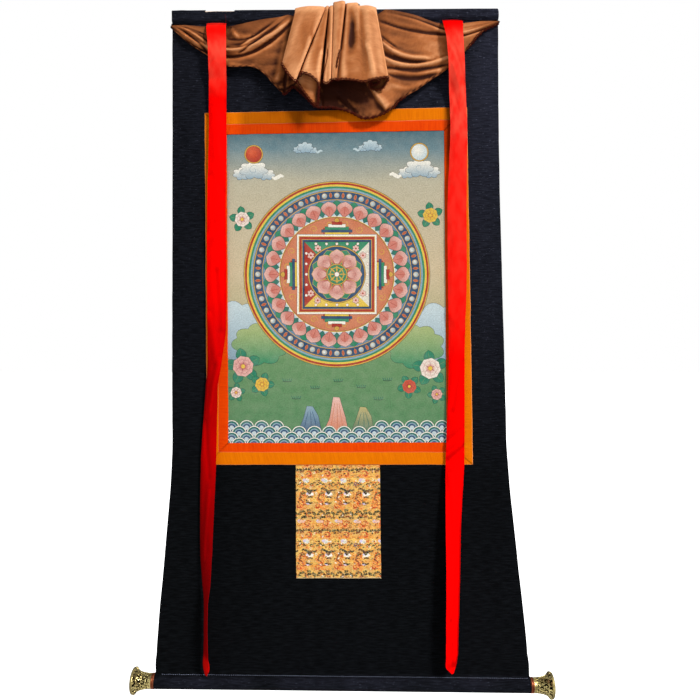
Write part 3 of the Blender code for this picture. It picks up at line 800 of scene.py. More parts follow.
# The medallion: plain rings, a ring of pearls, one of lotus petals and one of gilt scrolls.
rings((186.5, INK), (185.8, GOLD), (183.6, RED), (179.8, STRAW), (176, JADE), (172.2, MIST),
      (168.4, INK), (167.8, GOLD), (166, BLUE), (149.8, GOLD),
      (148.4, glow(PALE, tint(96, 130, 156), mx, mz, 116, 148)), (116.6, CREAM), (115, INK))
PEARLS = 40
for n in range(PEARLS):
    turn = math.tau * n / PEARLS
    x, z = from_centre(turn, 158)
    draw(disc(x, z, 4.6), glow(CREAM, MIST, x - 1, z + 1, 1.5, 5.5), GOLD, 0.8)
    turn += math.pi / PEARLS
    x, z = from_centre(turn, 158)
    draw(petal(x, z, turn, -5.5, 5.5, 2.4, 0.5, 4), tint(196, 92, 66), GOLD, 0.5)
LOTUS_PETALS = 26
for back in (1, 0):
    for n in range(LOTUS_PETALS):
        turn = math.tau * (n + back / 2) / LOTUS_PETALS
        base, tip = from_centre(turn, 116), from_centre(turn, 148)
        if back:
            draw(petal(mx, mz, turn, 116, 148, 12, 0.6), fade(TEAL, JADE, base, tip), INK)
            continue
        draw(petal(mx, mz, turn, 114, 146, 15.5, 0.6),
             fade(tint(190, 96, 84), BLUSH, base, tip), INK)
        draw(petal(mx, mz, turn, 115, 137, 8.5, 0.6), fade(ROSE, tint(196, 104, 90), base, tip))
        draw(stroke([from_centre(turn, reach) for reach in (119, 124, 130, 135)], 0.9), RED)
rings((115.6, GOLD), (114, INK), (113.4, glow(tint(216, 138, 100), CLAY, mx, mz, 70, 113)))
SCROLLS = 20
for n in range(SCROLLS):
    turn = math.tau * (n + 0.5) / SCROLLS
    x, z = from_centre(turn, 101)
    draw(stroke(curl(x, z, 8.0, turn + math.pi / 2, 1 if n % 2 else -1), 1.5), GOLD)


def turned(points, quarter):
    """Points about the medallion's centre, turned by quarters."""
    cos, sin = (1, 0, -1, 0)[quarter], (0, 1, 0, -1)[quarter]
    return [(mx + x * cos - z * sin, mz + x * sin + z * cos) for x, z in points]


def block(half, low, high):
    """A rectangle that is half as wide to each side."""
    return [(-half, low), (half, low), (half, high), (-half, high)]


# The square court with a stepped gate at each side, and four quarters of colour in it.
for quarter in range(4):
    for half, low, high, colour in (
            (27, 70, 92, RED), (24, 70, 89, STRAW), (31, 84, 89, BLUE), (24, 89, 95, JADE),
            (17, 94, 100, CREAM), (10, 99, 105, RED)):
        draw(turned(block(half, low, high), quarter), colour, INK, 0.5)
    draw(turned(petal(0, 104, math.pi / 2, 0, 9, 5, 0.4), quarter), GOLD, INK, 0.5)
for half, colour in ((80, INK), (79.4, CREAM), (76, GOLD), (74.6, RED), (70, GOLD),
                     (68.8, BLUE), (65.4, INK)):
    draw(turned(block(half, -half, half), 0), colour)
for quarter, light, deep in ((0, tint(228, 220, 200), CREAM), (1, JADE, tint(84, 164, 122)),
                             (2, RED, tint(198, 84, 62)), (3, STRAW, tint(240, 216, 130))):
    wedge = turned([(0.4, -0.4), (64.6, -64.6), (64.6, 64.6), (0.4, 0.4)], quarter)
    draw(wedge, fade(deep, light, (mx, mz), between(wedge[1], wedge[2], 0.5)))
    for side in range(-2, 3):
        x, z = turned([(61.0, side * 21.0)], quarter)[0]
        draw(disc(x, z, 2.6, count=8), CREAM, RED, 0.5)
    for way in (-1, 1):
        x, z = turned([(52, way * 38)], quarter)[0]
        draw(scallop(x, z, 6, 6, 6, 0.4), BLUSH, INK, 0.5)
        draw(disc(x, z, 2.0, count=8), RED)
# The lotus at the court's middle, and the wheel at its heart.
draw(disc(mx, mz, 57.5), GOLD, INK, 0.6)
draw(disc(mx, mz, 55.0), glow(tint(60, 104, 140), BLUE, mx, mz, 20, 55), INK, 0.5)
for shift, far, half, deep, light in ((0.5, 52, 14, TEAL, JADE), (0.0, 50, 15, RED, BLUSH)):
    for n in range(8):
        turn = math.tau * (n + shift) / 8
        tip = from_centre(turn, far)
        draw(petal(mx, mz, turn, 14, far, half, 0.62),
             fade(deep, light, between((mx, mz), tip, 0.35), tip), GOLD, 0.8)
        draw(petal(mx, mz, turn, 18, far * 0.8, half * 0.5, 0.6),
             fade(light, deep, between((mx, mz), tip, 0.4), tip))
draw(disc(mx, mz, 21.5), GOLD, INK, 0.6)
draw(disc(mx, mz, 19.0), JADE, INK, 0.5)
for n in range(8):
    draw(petal(mx, mz, math.tau * n / 8, 3, 18.5, 2.0, 0.75, 4), GOLD, INK, 0.35)
rings((14.6, GOLD), (12.6, JADE))
for n in range(8):
    draw(petal(mx, mz, math.tau * n / 8, 3, 13.5, 1.7, 0.7, 4), GOLD)
draw(disc(mx, mz, 4.6), CREAM, RED, 0.9)

# Peonies with their leaves in the field's corners and beside the medallion.
for x, z, size, light, deep in (
        (-186, -418, 15, CREAM, ROSE), (190, -410, 15, STRAW, tint(214, 150, 40)),
        (-184, -712, 21, BLUSH, tint(190, 84, 92)), (190, -716, 21, CREAM, ROSE),
        (-146, -748, 14, STRAW, tint(220, 150, 40)), (148, -752, 14, tint(214, 92, 66), RED),
        (-198, -764, 11, CREAM, ROSE), (203, -768, 11, BLUSH, tint(190, 84, 92))):
    peony(x, z, size, light, deep, 0.02 * x)
for x, z in ((-96, -742), (-40, -756), (52, -754), (104, -740), (-78, -776), (86, -778),
             (6, -742)):
    tuft(x, z)

# Water along the foot, with three peaks rising from it.
WAVE_RADIUS = 15.0
WAVES = 16
for peak_x, top, half, light, deep in (
        (-50, -792, 32, MIST, BLUE), (56, -794, 32, tint(190, 176, 120), TEAL),
        (3, -774, 34, BLUSH, CLAY)):
    peak = [(peak_x + half * side, z) for side, z in (
        (-1, -866), (1, -866), (0.62, -832), (0.5, -812), (0.16, top), (-0.2, top + 1),
        (-0.42, -816), (-0.66, -834))]
    draw(peak, fade(deep, light, (peak_x, -850), (peak_x, top)), INK)
    for side, low in ((-0.3, -838), (0.05, -846), (0.32, -836)):
        draw(stroke([(peak_x + half * side * 0.4, top - 10), (peak_x + half * side, -824),
                     (peak_x + half * side * 1.2, low)], 1.2), deep)
for row in range(3, -1, -1):
    for n in range(WAVES):
        x = -222 + (n + 0.5 * (row % 2)) * 2 * WAVE_RADIUS
        if row == 3 and abs(x) < 90:
            continue
        for part, colour in ((1.0, CREAM), (0.88, TEAL), (0.66, MIST), (0.5, BLUE), (0.3, PALE)):
            draw(disc(x, -862 + 11.5 * row - 7, WAVE_RADIUS * part, count=20), colour,
                 INK if part == 1.0 else None, 0.4)


def painted_sheet(name, border, background, height, step):
    """A sheet cut to its border, with each shape's own colour on it and clean edges between."""
    points, outlines = [Vector(place) for place in border], [list(range(len(border)))]
    for outline, _ in shapes:
        outlines.append(list(range(len(points), len(points) + len(outline))))
        points += [Vector(place) for place in outline]
    low, high = [[pick(line) for line in zip(*border)] for pick in (min, max)]
    for column in range(1, int((high[0] - low[0]) / step)):
        for row in range(1, int((high[1] - low[1]) / step)):
            points.append(Vector((low[0] + column * step, low[1] + row * step)))
    places, _, cells, _, _, owners = delaunay_2d_cdt(points, [], outlines, 0, 1e-4, True)
    faces, colours = [], []
    for cell, owner in zip(cells, owners):
        if 0 not in owner:
            continue
        top = max(owner)
        colour = shapes[top - 1][1] if top else background
        faces.append(cell)
        colours += [colour(*places[corner]) if callable(colour) else colour for corner in cell]
    piece = new_piece(name, [sewn(x, z, height) for x, z in places], faces)
    layer = piece.data.color_attributes.new("paint", "FLOAT_COLOR", "CORNER")
    flat = piece.data.uv_layers.new(name="cloth")
    for number, (colour, corner) in enumerate(zip(colours, (c for face in faces for c in face))):
        layer.data[number].color = colour
        flat.data[number].uv = places[corner] * MM
    return piece


canvas = painted_sheet("canvas_picture", grown(CANVAS_CORNERS[::-1], TUCKED_UNDER),
                       sky_and_field, CANVAS_HEIGHT, PICTURE_STEP)
thicken(canvas, CANVAS_CLOTH, offset=-1.0)
paint, tree, shader, place = cloth_material("mineral_paint", 0.85, 0.08)
weave = threads(tree, place, 2.2, 2.0)
dust = lumps(tree, place, (60, 60, 1), 4.0)
grains = lumps(tree, place, (430, 430, 1), 2.0, 0.36, 0.64)
colour = laid(tree, tone_of(tree, "paint"), weave, 0.3, tint(120, 112, 100), "MULTIPLY")
colour = laid(tree, colour, grains, 0.36, tint(150, 148, 150), "MULTIPLY")
colour = laid(tree, colour, dust, 0.1, tint(190, 180, 160), "SCREEN")
tree.links.new(colour, shader.inputs["Base Color"])
raise_threads(tree, shader, weave, 0.12)
canvas.data.materials.append(paint)
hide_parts("painted_canvas")
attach(canvas, "root")

# Brocade patch. A cut of gold figured silk with its edges turned under, sewn on below the
# borders. Clouds, scrolls, birds and leaf sprays in coloured weft repeat across and down it.
PATCH_CORNERS = ((-78.8, -909.2), (89.2, -909.2), (91.4, -1135.1), (-77.8, -1135.1))
REPEAT_ACROSS = 37.4
REPEAT_DOWN = 121.6
FIRST_REPEAT = (-50.8, -962.0)
PATCH_STEP = 5.0
PATCH_CLOTH = 0.6
PATCH_HEIGHT = 0.85
PATCH_TOP = -909.0
PATCH_DROP = 226.0
PATCH_CROWN = 0.75
PATCH_EDGE = 0.1
PATCH_TURN = 1.4
# The foot's corners curl to the front. Columns: x, z, reach, how far.
PATCH_CURLS = ((91, -1135, 15, 1.5), (-78, -1135, 14, 0.9))
STRAW_SILK = tint(250, 200, 92)
AMBER = tint(232, 142, 44)
BEIGE = tint(206, 170, 104)
EMBER = tint(226, 74, 12)
RUST = tint(124, 32, 10)
LILAC = tint(214, 206, 240)
OLIVE = tint(58, 54, 18)
NIGHT = tint(3, 5, 30)
PEAT = tint(14, 8, 8)
shapes = []


def gold_ground(x, z):
    """The satin ground, which goes from straw to amber and beige in soft blots."""
    first = min(max(0.5 + 1.3 * wander(x, z, 9), 0.0), 1.0)
    second = min(max(0.4 + 1.5 * wander(x + 90, z * 1.4, 13), 0.0), 1.0)
    return between(between(STRAW_SILK, AMBER, first), BEIGE, 0.6 * second)


def scroll(x, z, size, turn, way, colour, core):
    """A coiled cloud scroll with a darker core line and a light edge."""
    draw(stroke(curl(x, z, size, turn, way, 1.1, 11), size * 0.62), colour)
    draw(stroke(curl(x, z, size * 0.96, turn, way, 1.0, 9), size * 0.17), core)
    draw(stroke(curl(x, z + 0.4, size * 1.2, turn + 0.3, way, 0.5, 6), size * 0.16), STRAW_SILK)


def spray(x, z, reach, colour, lean):
    """A low spray of pointed leaves."""
    for n, turn in enumerate((0.25, 0.8, 2.3, 2.9)):
        draw(petal(x, z, turn + lean, 0.3, reach * (1.0 - 0.1 * n), 1.55, 0.5, 4), colour)


def sweep(x, z, silk, width, *places):
    """A tapered stroke in one silk, through places counted from the bird."""
    draw(stroke([(x + dx, z + dz) for dx, dz in places], width), silk)


fill_places = random.Random(7)
FILL = [(fill_places.uniform(-18, 19), fill_places.uniform(-118, 4)) for _ in range(84)]
TANGERINE = tint(244, 150, 62)
FILL_SILKS = (AMBER, EMBER, OLIVE, RUST, PEAT, STRAW_SILK, CREAM, RUST, EMBER)
# Rows of leaf sprays. Columns: x and z from the bird, reach, colour, lean.
SPRAYS = (
    (-15, -42, 6.5, OLIVE, 0.2), (-6, -45.5, 8.5, PEAT, 0), (4, -44, 8, PEAT, 0.15),
    (13, -46.5, 8.5, OLIVE, -0.1), (21, -41.5, 6.5, PEAT, 0.2), (-2, -39, 5.5, OLIVE, 0.3),
    (-11, -52, 6.5, PEAT, -0.1), (8, -54, 6.5, OLIVE, 0.1), (24, -53, 6, PEAT, 0.2),
    (0, -51, 5.5, RUST, 0), (-15, -79.5, 7, PEAT, 0.1), (-5, -78, 7.5, PEAT, -0.1),
    (6, -80.5, 8, OLIVE, 0.1), (15, -79, 7, PEAT, 0), (21, -83, 6, RUST, 0.2),
    (-13, -5, 5.5, OLIVE, 0.4), (9, -93, 5.5, AMBER, 0.4),
)
# Coiled scrolls. Columns: x and z from the bird, size, turn, way, body, core.
COILS = (
    (23, -6, 6.4, 2.6, -1, EMBER, RUST), (19.5, -15, 7.4, -0.4, 1, TANGERINE, RUST),
    (25, -22.5, 7, 1.4, -1, EMBER, RUST), (17, -29.5, 6.4, 0.4, 1, EMBER, RUST),
    (28, -32, 4.4, 2, -1, TANGERINE, EMBER), (-3.5, -65, 8, 0.6, 1, EMBER, RUST),
    (4.5, -71, 5.6, 2.8, -1, TANGERINE, PEAT), (-12, -69, 5, 1.8, 1, TANGERINE, EMBER),
    (-2, -87.5, 7.4, 3.4, -1, EMBER, RUST), (17, -66, 5.2, 1, 1, AMBER, RUST),
)
for down in range(-1, 3):
    for across in range(-1, 6):
        x = FIRST_REPEAT[0] + REPEAT_ACROSS * across
        z = FIRST_REPEAT[1] - REPEAT_DOWN * down
        # broad orange ground of the coils, and a straw sweep beside the pale cloud
        draw(scallop(x + 22, z - 17, 8.5, 17, 7, 0.3), TANGERINE)
        draw(scallop(x - 3, z - 68, 12, 8, 7, 0.3), tint(236, 160, 84))
        sweep(x, z, STRAW_SILK, 6.5, (3, -91), (14, -97), (27, -103))
        sweep(x, z, TANGERINE, 6.0, (-17, -92), (-6, -90), (6, -93))
        # small leaves and curls all over
        for n, (dx, dz) in enumerate(FILL):
            colour = FILL_SILKS[(n + across) % len(FILL_SILKS)]
            if n % 3:
                draw(petal(x + dx, z + dz, 0.9 * n, -2.6, 2.6, 1.4, 0.5, 4), colour)
            else:
                way = 1 - 2 * (n % 2)
                draw(stroke(curl(x + dx, z + dz, 3.2, 1.7 * n, way, 0.9, 7), 1.3), colour)
        for dx, dz, size, turn, way, body, core in COILS:
            scroll(x + dx, z + dz, size, turn, way, body, core)
        sweep(x, z, RUST, 3.4, (24, 2), (19, -7), (17, -14), (24, -20))
        # the bird: a pale cloud behind, a folded wing, a spread one, and dashes below it
        draw(scallop(x + 0.8, z - 5.4, 7.0, 3.6, 5, 0.35, 0.2 * across), tint(255, 252, 244))
        draw(scallop(x - 3.6, z - 3.8, 3.4, 2.2, 5, 0.3), LILAC)
        sweep(x, z, PEAT, 4.6, (-15.5, 4.2), (-12.5, 6.6), (-8, 4.6), (-3.4, 2.8))
        sweep(x, z, NIGHT, 6.4, (-6, 4.4), (-2.4, 0.4), (0.8, -5.4))
        sweep(x, z, NIGHT, 5.6, (-0.4, -3.4), (2.6, 1), (7, 2.6))
        sweep(x, z, PEAT, 4.0, (6, 2.4), (9.5, 1.6), (14, 3.8))
        sweep(x, z, PEAT, 3.4, (-4, -12), (1, -10.4), (6, -12.6))
        # a pale cloud on a dark bar, and the pink ones beside the coils
        draw(scallop(x - 2.6, z - 24.0, 4.6, 2.0, 5, 0.4), LILAC)
        sweep(x, z, PEAT, 3.8, (-8, -22.4), (-3, -21.4), (0.5, -23.8), (6, -22))
        draw(scallop(x - 16, z - 60, 6.4, 2.8, 5, 0.35), tint(236, 190, 176))
        draw(scallop(x + 17, z - 59, 4.2, 3.0, 5, 0.3), LILAC)
        for dx, dz, reach, colour, lean in SPRAYS:
            spray(x + dx, z + dz, reach, colour, lean)
        # the pale cloud at the foot, with dark dashes beneath it
        draw(scallop(x - 6 + down, z - 99.5, 5.6, 4.6, 7, 0.4, 0.3 * across), CREAM)
        draw(scallop(x - 10 + down, z - 98.5, 3.4, 3.0, 5, 0.3), LILAC)
        draw(scallop(x - 4.5 + down, z - 100.8, 2.6, 2.0, 5, 0.3), tint(206, 226, 216))
        for dx, dz in ((3, -107), (9, -104.8), (15, -108.5), (21, -105.5), (27, -108)):
            sweep(x + dx, z + dz, PEAT if across % 2 else OLIVE, 3.0, (-3, -1), (0, 1.4), (3.4, 0))
        if across == 2:
            violet = tint(84, 52, 104)
            draw(stroke(curl(x + 17, z - 106.7, 4.2, 0.4, 1, 1.2, 9), 2.6), violet)
# a pale strip along the foot, a painted highlight on its turned edge
draw([(-79, -1135.4), (92, -1135.4), (92, -1133.4), (-79, -1133.4)], tint(232, 206, 156))

patch = painted_sheet("brocade_silk", PATCH_CORNERS[::-1], gold_ground, PATCH_HEIGHT,
                      PATCH_STEP)
(left, top), (right, _), (foot_right, foot), (foot_left, _) = PATCH_CORNERS
for vertex in patch.data.vertices:
    x, _, z = vertex.co / MM
    down = (PATCH_TOP - z) / PATCH_DROP
    edge = min(abs(x - between(left, foot_left, down)), abs(x - between(right, foot_right, down)),
               z - foot, top - z + 3.0)
    vertex.co.y += (PATCH_CROWN - rolled(edge, PATCH_EDGE, PATCH_CROWN, PATCH_TURN)) * MM
    lift = sum(far * math.exp(-math.hypot((x - middle) / reach, (z - low) / reach))
               for middle, low, reach, far in PATCH_CURLS)
    vertex.co.y -= lift * MM
thicken(patch, PATCH_CLOTH, offset=-1.0)
brocade, tree, shader, place = cloth_material("gold_brocade", 0.55, 0.05)
twill = ribbing(tree, place, "DIAGONAL", 1.6, 1.0)
flecks = lumps(tree, place, (900, 420, 1), 1.0, 0.42, 0.68)
floats = lumps(tree, place, (230, 520, 1), 1.0, 0.56, 0.64)
blots = lumps(tree, place, (300, 380, 1), 1.0, 0.5, 0.58)
glints = lumps(tree, place, (140, 170, 1), 2.0, 0.5, 0.62)
colour = laid(tree, tone_of(tree, "paint"), glints, 0.22, tint(240, 128, 44))
colour = laid(tree, colour, blots, 0.26, tint(255, 240, 170))
colour = laid(tree, colour, floats, 0.42, tint(70, 34, 16))
colour = laid(tree, colour, flecks, 0.12, tint(250, 226, 168))
colour = laid(tree, colour, twill, 0.25, tint(150, 110, 70), "MULTIPLY")
tree.links.new(colour, shader.inputs["Base Color"])
raise_threads(tree, shader, sum_of(tree, "ADD", twill, flecks), 0.18)
patch.data.materials.append(brocade)
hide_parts("brocade_patch")
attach(patch, "root")

# Veil. One sheet of thin brown silk fixed at the panel's top corners. Its middle is drawn up
# over the top edge in pleats and falls in front, and a swag is left at each side. Its hem is
# rolled, and overlocked with dark thread where it was cut.
VEIL_CLOTH = 0.5
# Columns: lower x, z and depth, upper x, z and depth.
LEFT_SWAG = (
    (-326.4, -37, 4, -325.5, -32, 4), (-297, -62.3, 9, -299, -32, 5),
    (-257, -92.3, 12, -257, -34, 3.4), (-215.7, -116.2, 13, -216, -34, 3.6),
    (-165.6, -118.4, 13, -170, -28, 10), (-142.7, -129.9, 14, -143, -24, 13),
    (-119.9, -154.9, 15, -112, -21, 15), (-99, -175.1, 15, -93, -16, 15),
)
RIGHT_SWAG = (
    (126.2, -185.6, 16, 100, -5, 15), (160, -165, 14, 128, -9, 14),
    (190.1, -144, 13, 160, -16, 12.5), (222, -121.2, 12, 205, -27, 4.5),
    (263.4, -79.6, 10, 254, -27, 3.6), (290.6, -47.6, 8, 291, -24, 5),
    (326, -27, 4, 325.5, -23.5, 4),
)
# Lower hem of the part behind the front fall. Columns: x, z, depth.
BACK_LOBE = (
    (-82.9, -156.9, 13), (-60, -176, 12), (-37.7, -197.1, 12), (-1.2, -199.3, 12),
    (30.7, -208.4, 13), (57.8, -221.1, 15), (89.8, -215.1, 17), (117.1, -199.3, 17),
)
# Pleats of the front fall, left to right. Columns: top x, top depth, height of the fold over
# the top, then x, depth and z of the pleat at the hem.
FRONT_FALL = (
    (-74.8, 24, -10, -92, 27, -126), (-77.2, 29, -7.5, -103.1, 36, -122.3),
    (-52.4, 35, -5.6, -88.5, 44, -147.1), (-23.2, 34, -6, -76.7, 45, -158.9),
    (-20.6, 26, -5.6, -73.8, 35, -150.9), (-18.4, 31, -5, -59, 47, -144.6),
    (-14.4, 33, -4, -33.3, 47, -160.5), (-13.4, 31, -3.4, -31.4, 40, -178),
    (-13, 29.5, -3, -38.6, 36, -202.3), (-12.6, 28, -2.6, -75, 32, -154),
    (-12.3, 26, -2.2, -72.3, 27.5, -148.4), (-12.2, 23, -5.5, -28.2, 28, -149.2),
    (-11.2, 29, -4.6, -21.5, 42, -161), (-9, 33, -4.2, -14.5, 44, -163),
    (-3.8, 33.5, -3.6, -8.5, 44, -158), (-2.8, 26, -1, -6.8, 36, -155),
    (-2.6, 34, 1.6, -5.5, 43, -155.5), (6, 38, 2.2, -2.2, 45, -155.3),
    (14, 37.5, 4, 0.2, 44.5, -155.2), (19.2, 35, 3.4, 2.5, 43, -155.2),
    (21, 27, 1.6, 5, 40.5, -155.2), (24, 34, 0.4, 16, 42.5, -155.2),
    (34, 36, 0.6, 30, 43.5, -156), (43, 36.5, 0.4, 46, 45, -159),
    (46.5, 36, -2.4, 53, 46.2, -160.5), (50, 36, -5.2, 60, 48, -161),
    (64, 39.6, -6, 76, 50, -157), (80.2, 35, -8.5, 103.1, 42, -151.2),
    (79, 27, -10, 100.7, 34, -156.7), (78, 25, -10.5, 96.1, 28, -164.1),
    (76.5, 24, -11, 84.4, 26, -169.2), (75.5, 23.5, -11, 70.6, 28, -167),
    (75, 24, -11, 66.6, 33, -160.2), (75.5, 25.5, -11, 70.3, 39, -154.6),
    (76.5, 26.5, -11, 81.9, 41, -154.4), (77, 26.8, -11, 87.9, 37.5, -156.9),
    (76.5, 26.2, -11, 82.2, 33.5, -161.1), (76, 25.8, -11, 71.5, 32.5, -163.9),
)
# Folds and grooves of the swags, each a curve from its start past a control point to its end.
# Columns: start x, z, control x, z, end x, z, height, width above the crest, width below it.
SWAG_FOLDS = (
    (-78, -20, -198.5, -164, -326, -38, -5, 2.6, 5), (-76, -12, -197, -148, -326, -34, 5, 4.5, 4),
    (-80, -6, -140, -62, -190, -90, -2.6, 2.5, 2.5), (-80, 4, -135, -50, -184, -76, 2.2, 2.5, 2.5),
    (-104, -20, -126, -38, -156, -54, -3.2, 6, 3), (-204, -46, -184, -60, -164, -60, 2, 8, 8),
    (-206, -34, -202, -48, -192, -60, 1.8, 3.5, 3.5), (-208, -78, -170, -80, -130, -52, 1.2, 3, 3),
    (-212, -62, -170, -70, -128, -44, -1.4, 3, 3), (-326, -33, -290, -38, -243, -82, 3, 3.2, 3.2),
    (-326, -36, -296, -43, -246, -94, -3.6, 3, 3.6),
    (-326, -32, -312, -34, -294, -38, -1.6, 2.4, 2.6),
    (-326, -33, -296, -34, -258, -52, -1.6, 2, 3), (-214, -112, -186, -118, -158, -118, 1.6, 5, 5),
    (-94, -60, -108, -120, -116, -152, 3.2, 7, 7), (-90, -100, -101, -140, -100, -178, -3, 3, 3),
    (-78, -150, -96, -166, -112, -164, -2.4, 2.5, 2.5), (78, -2, 150, -12, 215, -33, 2.6, 2.8, 2.6),
    (84, -7, 150, -18, 226, -43, -4.2, 2.6, 2.6), (78, -6, 150, -21, 226, -48, 4.2, 2.8, 5),
    (84, -26, 150, -58, 246, -50, -4, 5, 2.8), (246, -56, 282, -50, 326, -26, -3, 2.4, 2.4),
    (248, -50, 286, -42, 326, -24, 2.4, 3, 2.6), (252, -38, 290, -33, 326, -24, -1.4, 2.4, 2.4),
    (92, -58, 104, -72, 120, -80, -1.8, 2.3, 2.3), (90, -64, 102, -78, 116, -85, -1.5, 2.2, 2.2),
    (88, -64, 118, -110, 192, -102, 3.4, 6, 3.2), (88, -86, 118, -117, 176, -107, -3.4, 5, 3.4),
    (88, -96, 142, -140, 240, -92, 3.4, 3.6, 3.8), (88, -118, 150, -133, 226, -112, -2.4, 3.2, 4.2),
    (100, -132, 148, -152, 198, -132, -2.2, 3, 4.5),
    (108, -124, 150, -142, 206, -124, 1.2, 2.6, 2.6), (112, -156, 160, -178, 222, -112, 1.6, 6, 6),
    (66, -150, 84, -180, 104, -206, 6, 14, 6), (4, -172, 22, -190, 40, -210, -3.4, 5, 5),
    (-30, -168, -24, -184, -26, -198, -2.4, 3, 3),
)
# The same for the front fall.
FALL_FOLDS = (
    (-60, 0, -76, -60, -96, -118, 1.2, 7, 7), (-44, -66, -56, -105, -60, -134, 1.8, 7, 7),
    (-24, -96, -32, -124, -32, -146, 1.8, 4, 4), (-14.2, -94, -15, -126, -27, -152, -3.2, 1.3, 1.3),
    (26, -2, 43, -22, 30, -98, -4.4, 8.5, 8.5), (34, -4, 44, -30, 42, -64, 1.2, 6, 6),
    (60, -84, 70, -112, 76, -148, 1.8, 5, 5), (50, 2, 62, -70, 84, -150, 1.4, 14, 14),
    (72, -20, 86, -80, 92, -150, 1.4, 7, 7), (12, -92, 14, -125, 18, -153, 1.6, 7, 7),
)
# Places where the cloth lies in its own shade, painted darker; entries below nought are painted
# lighter as painted light.
# Columns: x, z, reach across, reach down, how dark.
SWAG_DUSK = (
    (-98, -165, 18, 32, 0.34), (-90, -70, 9, 60, 0.34), (-126, -42, 12, 8, 0.14),
    (-192, -106, 26, 7, 0.04), (-177, -50, 30, 12, 0.08), (-20, -182, 40, 34, 0.36),
    (30, -166, 42, 26, 0.6), (60, -190, 14, 18, 0.14), (120, -104, 26, 6, 0.25),
    (150, -134, 52, 8, 0.3), (126, -142, 24, 8, 0.34), (219, -76, 6, 26, 0.2),
    (190, -50, 34, 4, 0.3), (165, -78, 70, 28, -0.16), (158, -46, 30, 10, 0.08),
    (94, -146, 30, 46, -0.54), (258, -42, 32, 24, -0.38), (208, -92, 32, 36, -0.34),
    (-98, -28, 18, 28, -0.26), (284, -22, 30, 14, -0.12),
)
FALL_DUSK = (
    (-44, -76, 3.2, 17, 0.5), (-19, -86, 3.6, 20, 0.3), (27, -66, 7, 30, 0.2),
    (25.5, -34, 5, 32, 0.1), (38, -84, 10, 28, 0.26), (-34, -184, 5, 24, 0.35),
    (-13.5, -44, 3, 40, 0.2), (-3.2, -30, 1.6, 36, 0.2), (34, -36, 9, 30, 0.04),
    (-12, -176, 24, 14, 0.08), (80, -162, 12, 6, 0.3), (-8, -58, 26, 34, 0.22),
    (29, -64, 14, 26, 0.12), (11, -14, 18, 20, 0.22), (-50, -64, 16, 26, 0.16),
    (0, 2, 26, 8, 0.38), (-40, -104, 18, 20, 0.12), (-72, -140, 14, 14, -0.3),
    (46, -24, 10, 16, -0.12),
)
VEIL_CORNER = 325.5
BEHIND_FALL = 13.0
BELOW_CREST = 9.0
FOLD_SAMPLES = 28
FOLD_FADE = 30.0
TOP_FADE = 3.0
SWAG_BULGE = 3.0
SWAG_COLUMNS = 100
PLEAT_SPACING = 2.5
PLEAT_FEWEST = 4
PLEAT_MOST = 12
JOIN_COLUMNS = 14
SWAG_ROWS = 72
CREST_ROWS = 8
FALL_ROWS = 54
ROLL_ROWS = 6
ROLL_RADIUS = 0.95
# The ribbons press the swags flat where they cross. Columns: middle x, half width.
PRESSED = ((-236.0, 24.0), (235.0, 25.0))
THREAD_RADIUS = 0.7
THREAD_PITCH = 2.1
THREAD_STEPS = 7
LOOP_RADIUS = 2.2
# A short run of overlocking holds two pleats of the fall together. Its places: x, z.
PLEAT_SEAM = ((9.2, -97.0), (7.6, -108.0), (4.6, -122.0), (3.4, -133.0))
# Tones: painted shade darkens the swags, the fall is painted a little lighter, and the hems have
# more painted shade than either.
SWAG_SHADE = 0.26
FALL_PAINTED_LIGHT = 0.07
SWAG_HEM_SHADE = 0.3
FALL_HEM_SHADE = 0.12


def fold_lines(table):
    """Each fold as its row of places, its height and its two widths."""
    lines = []
    for ax, az, cx, cz, bx, bz, height, above, below in table:
        places = []
        for n in range(FOLD_SAMPLES + 1):
            t = n / FOLD_SAMPLES
            places.append(((1 - t) ** 2 * ax + 2 * t * (1 - t) * cx + t * t * bx,
                           (1 - t) ** 2 * az + 2 * t * (1 - t) * cz + t * t * bz))
        reach = 2.5 * max(above, below)
        low = (min(p[0] for p in places) - reach, min(p[1] for p in places) - reach)
        high = (max(p[0] for p in places) + reach, max(p[1] for p in places) + reach)
        lines.append((places, height, above, below, low, high))
    return lines


def fold_height(lines, x, z):
    """How far the folds lift the cloth at a place. A fold dies out towards its ends."""
    lift = 0.0
    for places, height, above, below, low, high in lines:
        if not (low[0] < x < high[0] and low[1] < z < high[1]):
            continue
        near, offset, at_end = 1e9, 0.0, 0.0
        for n in range(FOLD_SAMPLES):
            (ax, az), (bx, bz) = places[n], places[n + 1]
            run = (bx - ax) ** 2 + (bz - az) ** 2
            t = min(max(((x - ax) * (bx - ax) + (z - az) * (bz - az)) / run, 0.0), 1.0)
            px, pz = ax + t * (bx - ax), az + t * (bz - az)
            distance = math.hypot(x - px, z - pz)
            if distance < near:
                near, offset, at_end = distance, z - pz, min(n + t, FOLD_SAMPLES - n - t)
        width = above if offset > 0 else below
        lift += height * math.exp(-(near / width) ** 2) * min(1.0, 0.35 + at_end / 5)
    return lift


def rolled_hem(edge, inner, radius):
    """Places of a hem rolled up to the front, from its last turn to its edge."""
    out = Vector(edge) - Vector(inner)
    out.normalize()
    front = Vector((0.0, 1.0, 0.0)) - out * out.y
    front.normalize()
    middle = Vector(edge) + front * radius
    turns = [math.radians(300 * (n + 1) / ROLL_ROWS) for n in range(ROLL_ROWS)]
    return [tuple(middle - front * radius * math.cos(turn) + out * radius * math.sin(turn))
            for turn in reversed(turns)], tuple(middle)


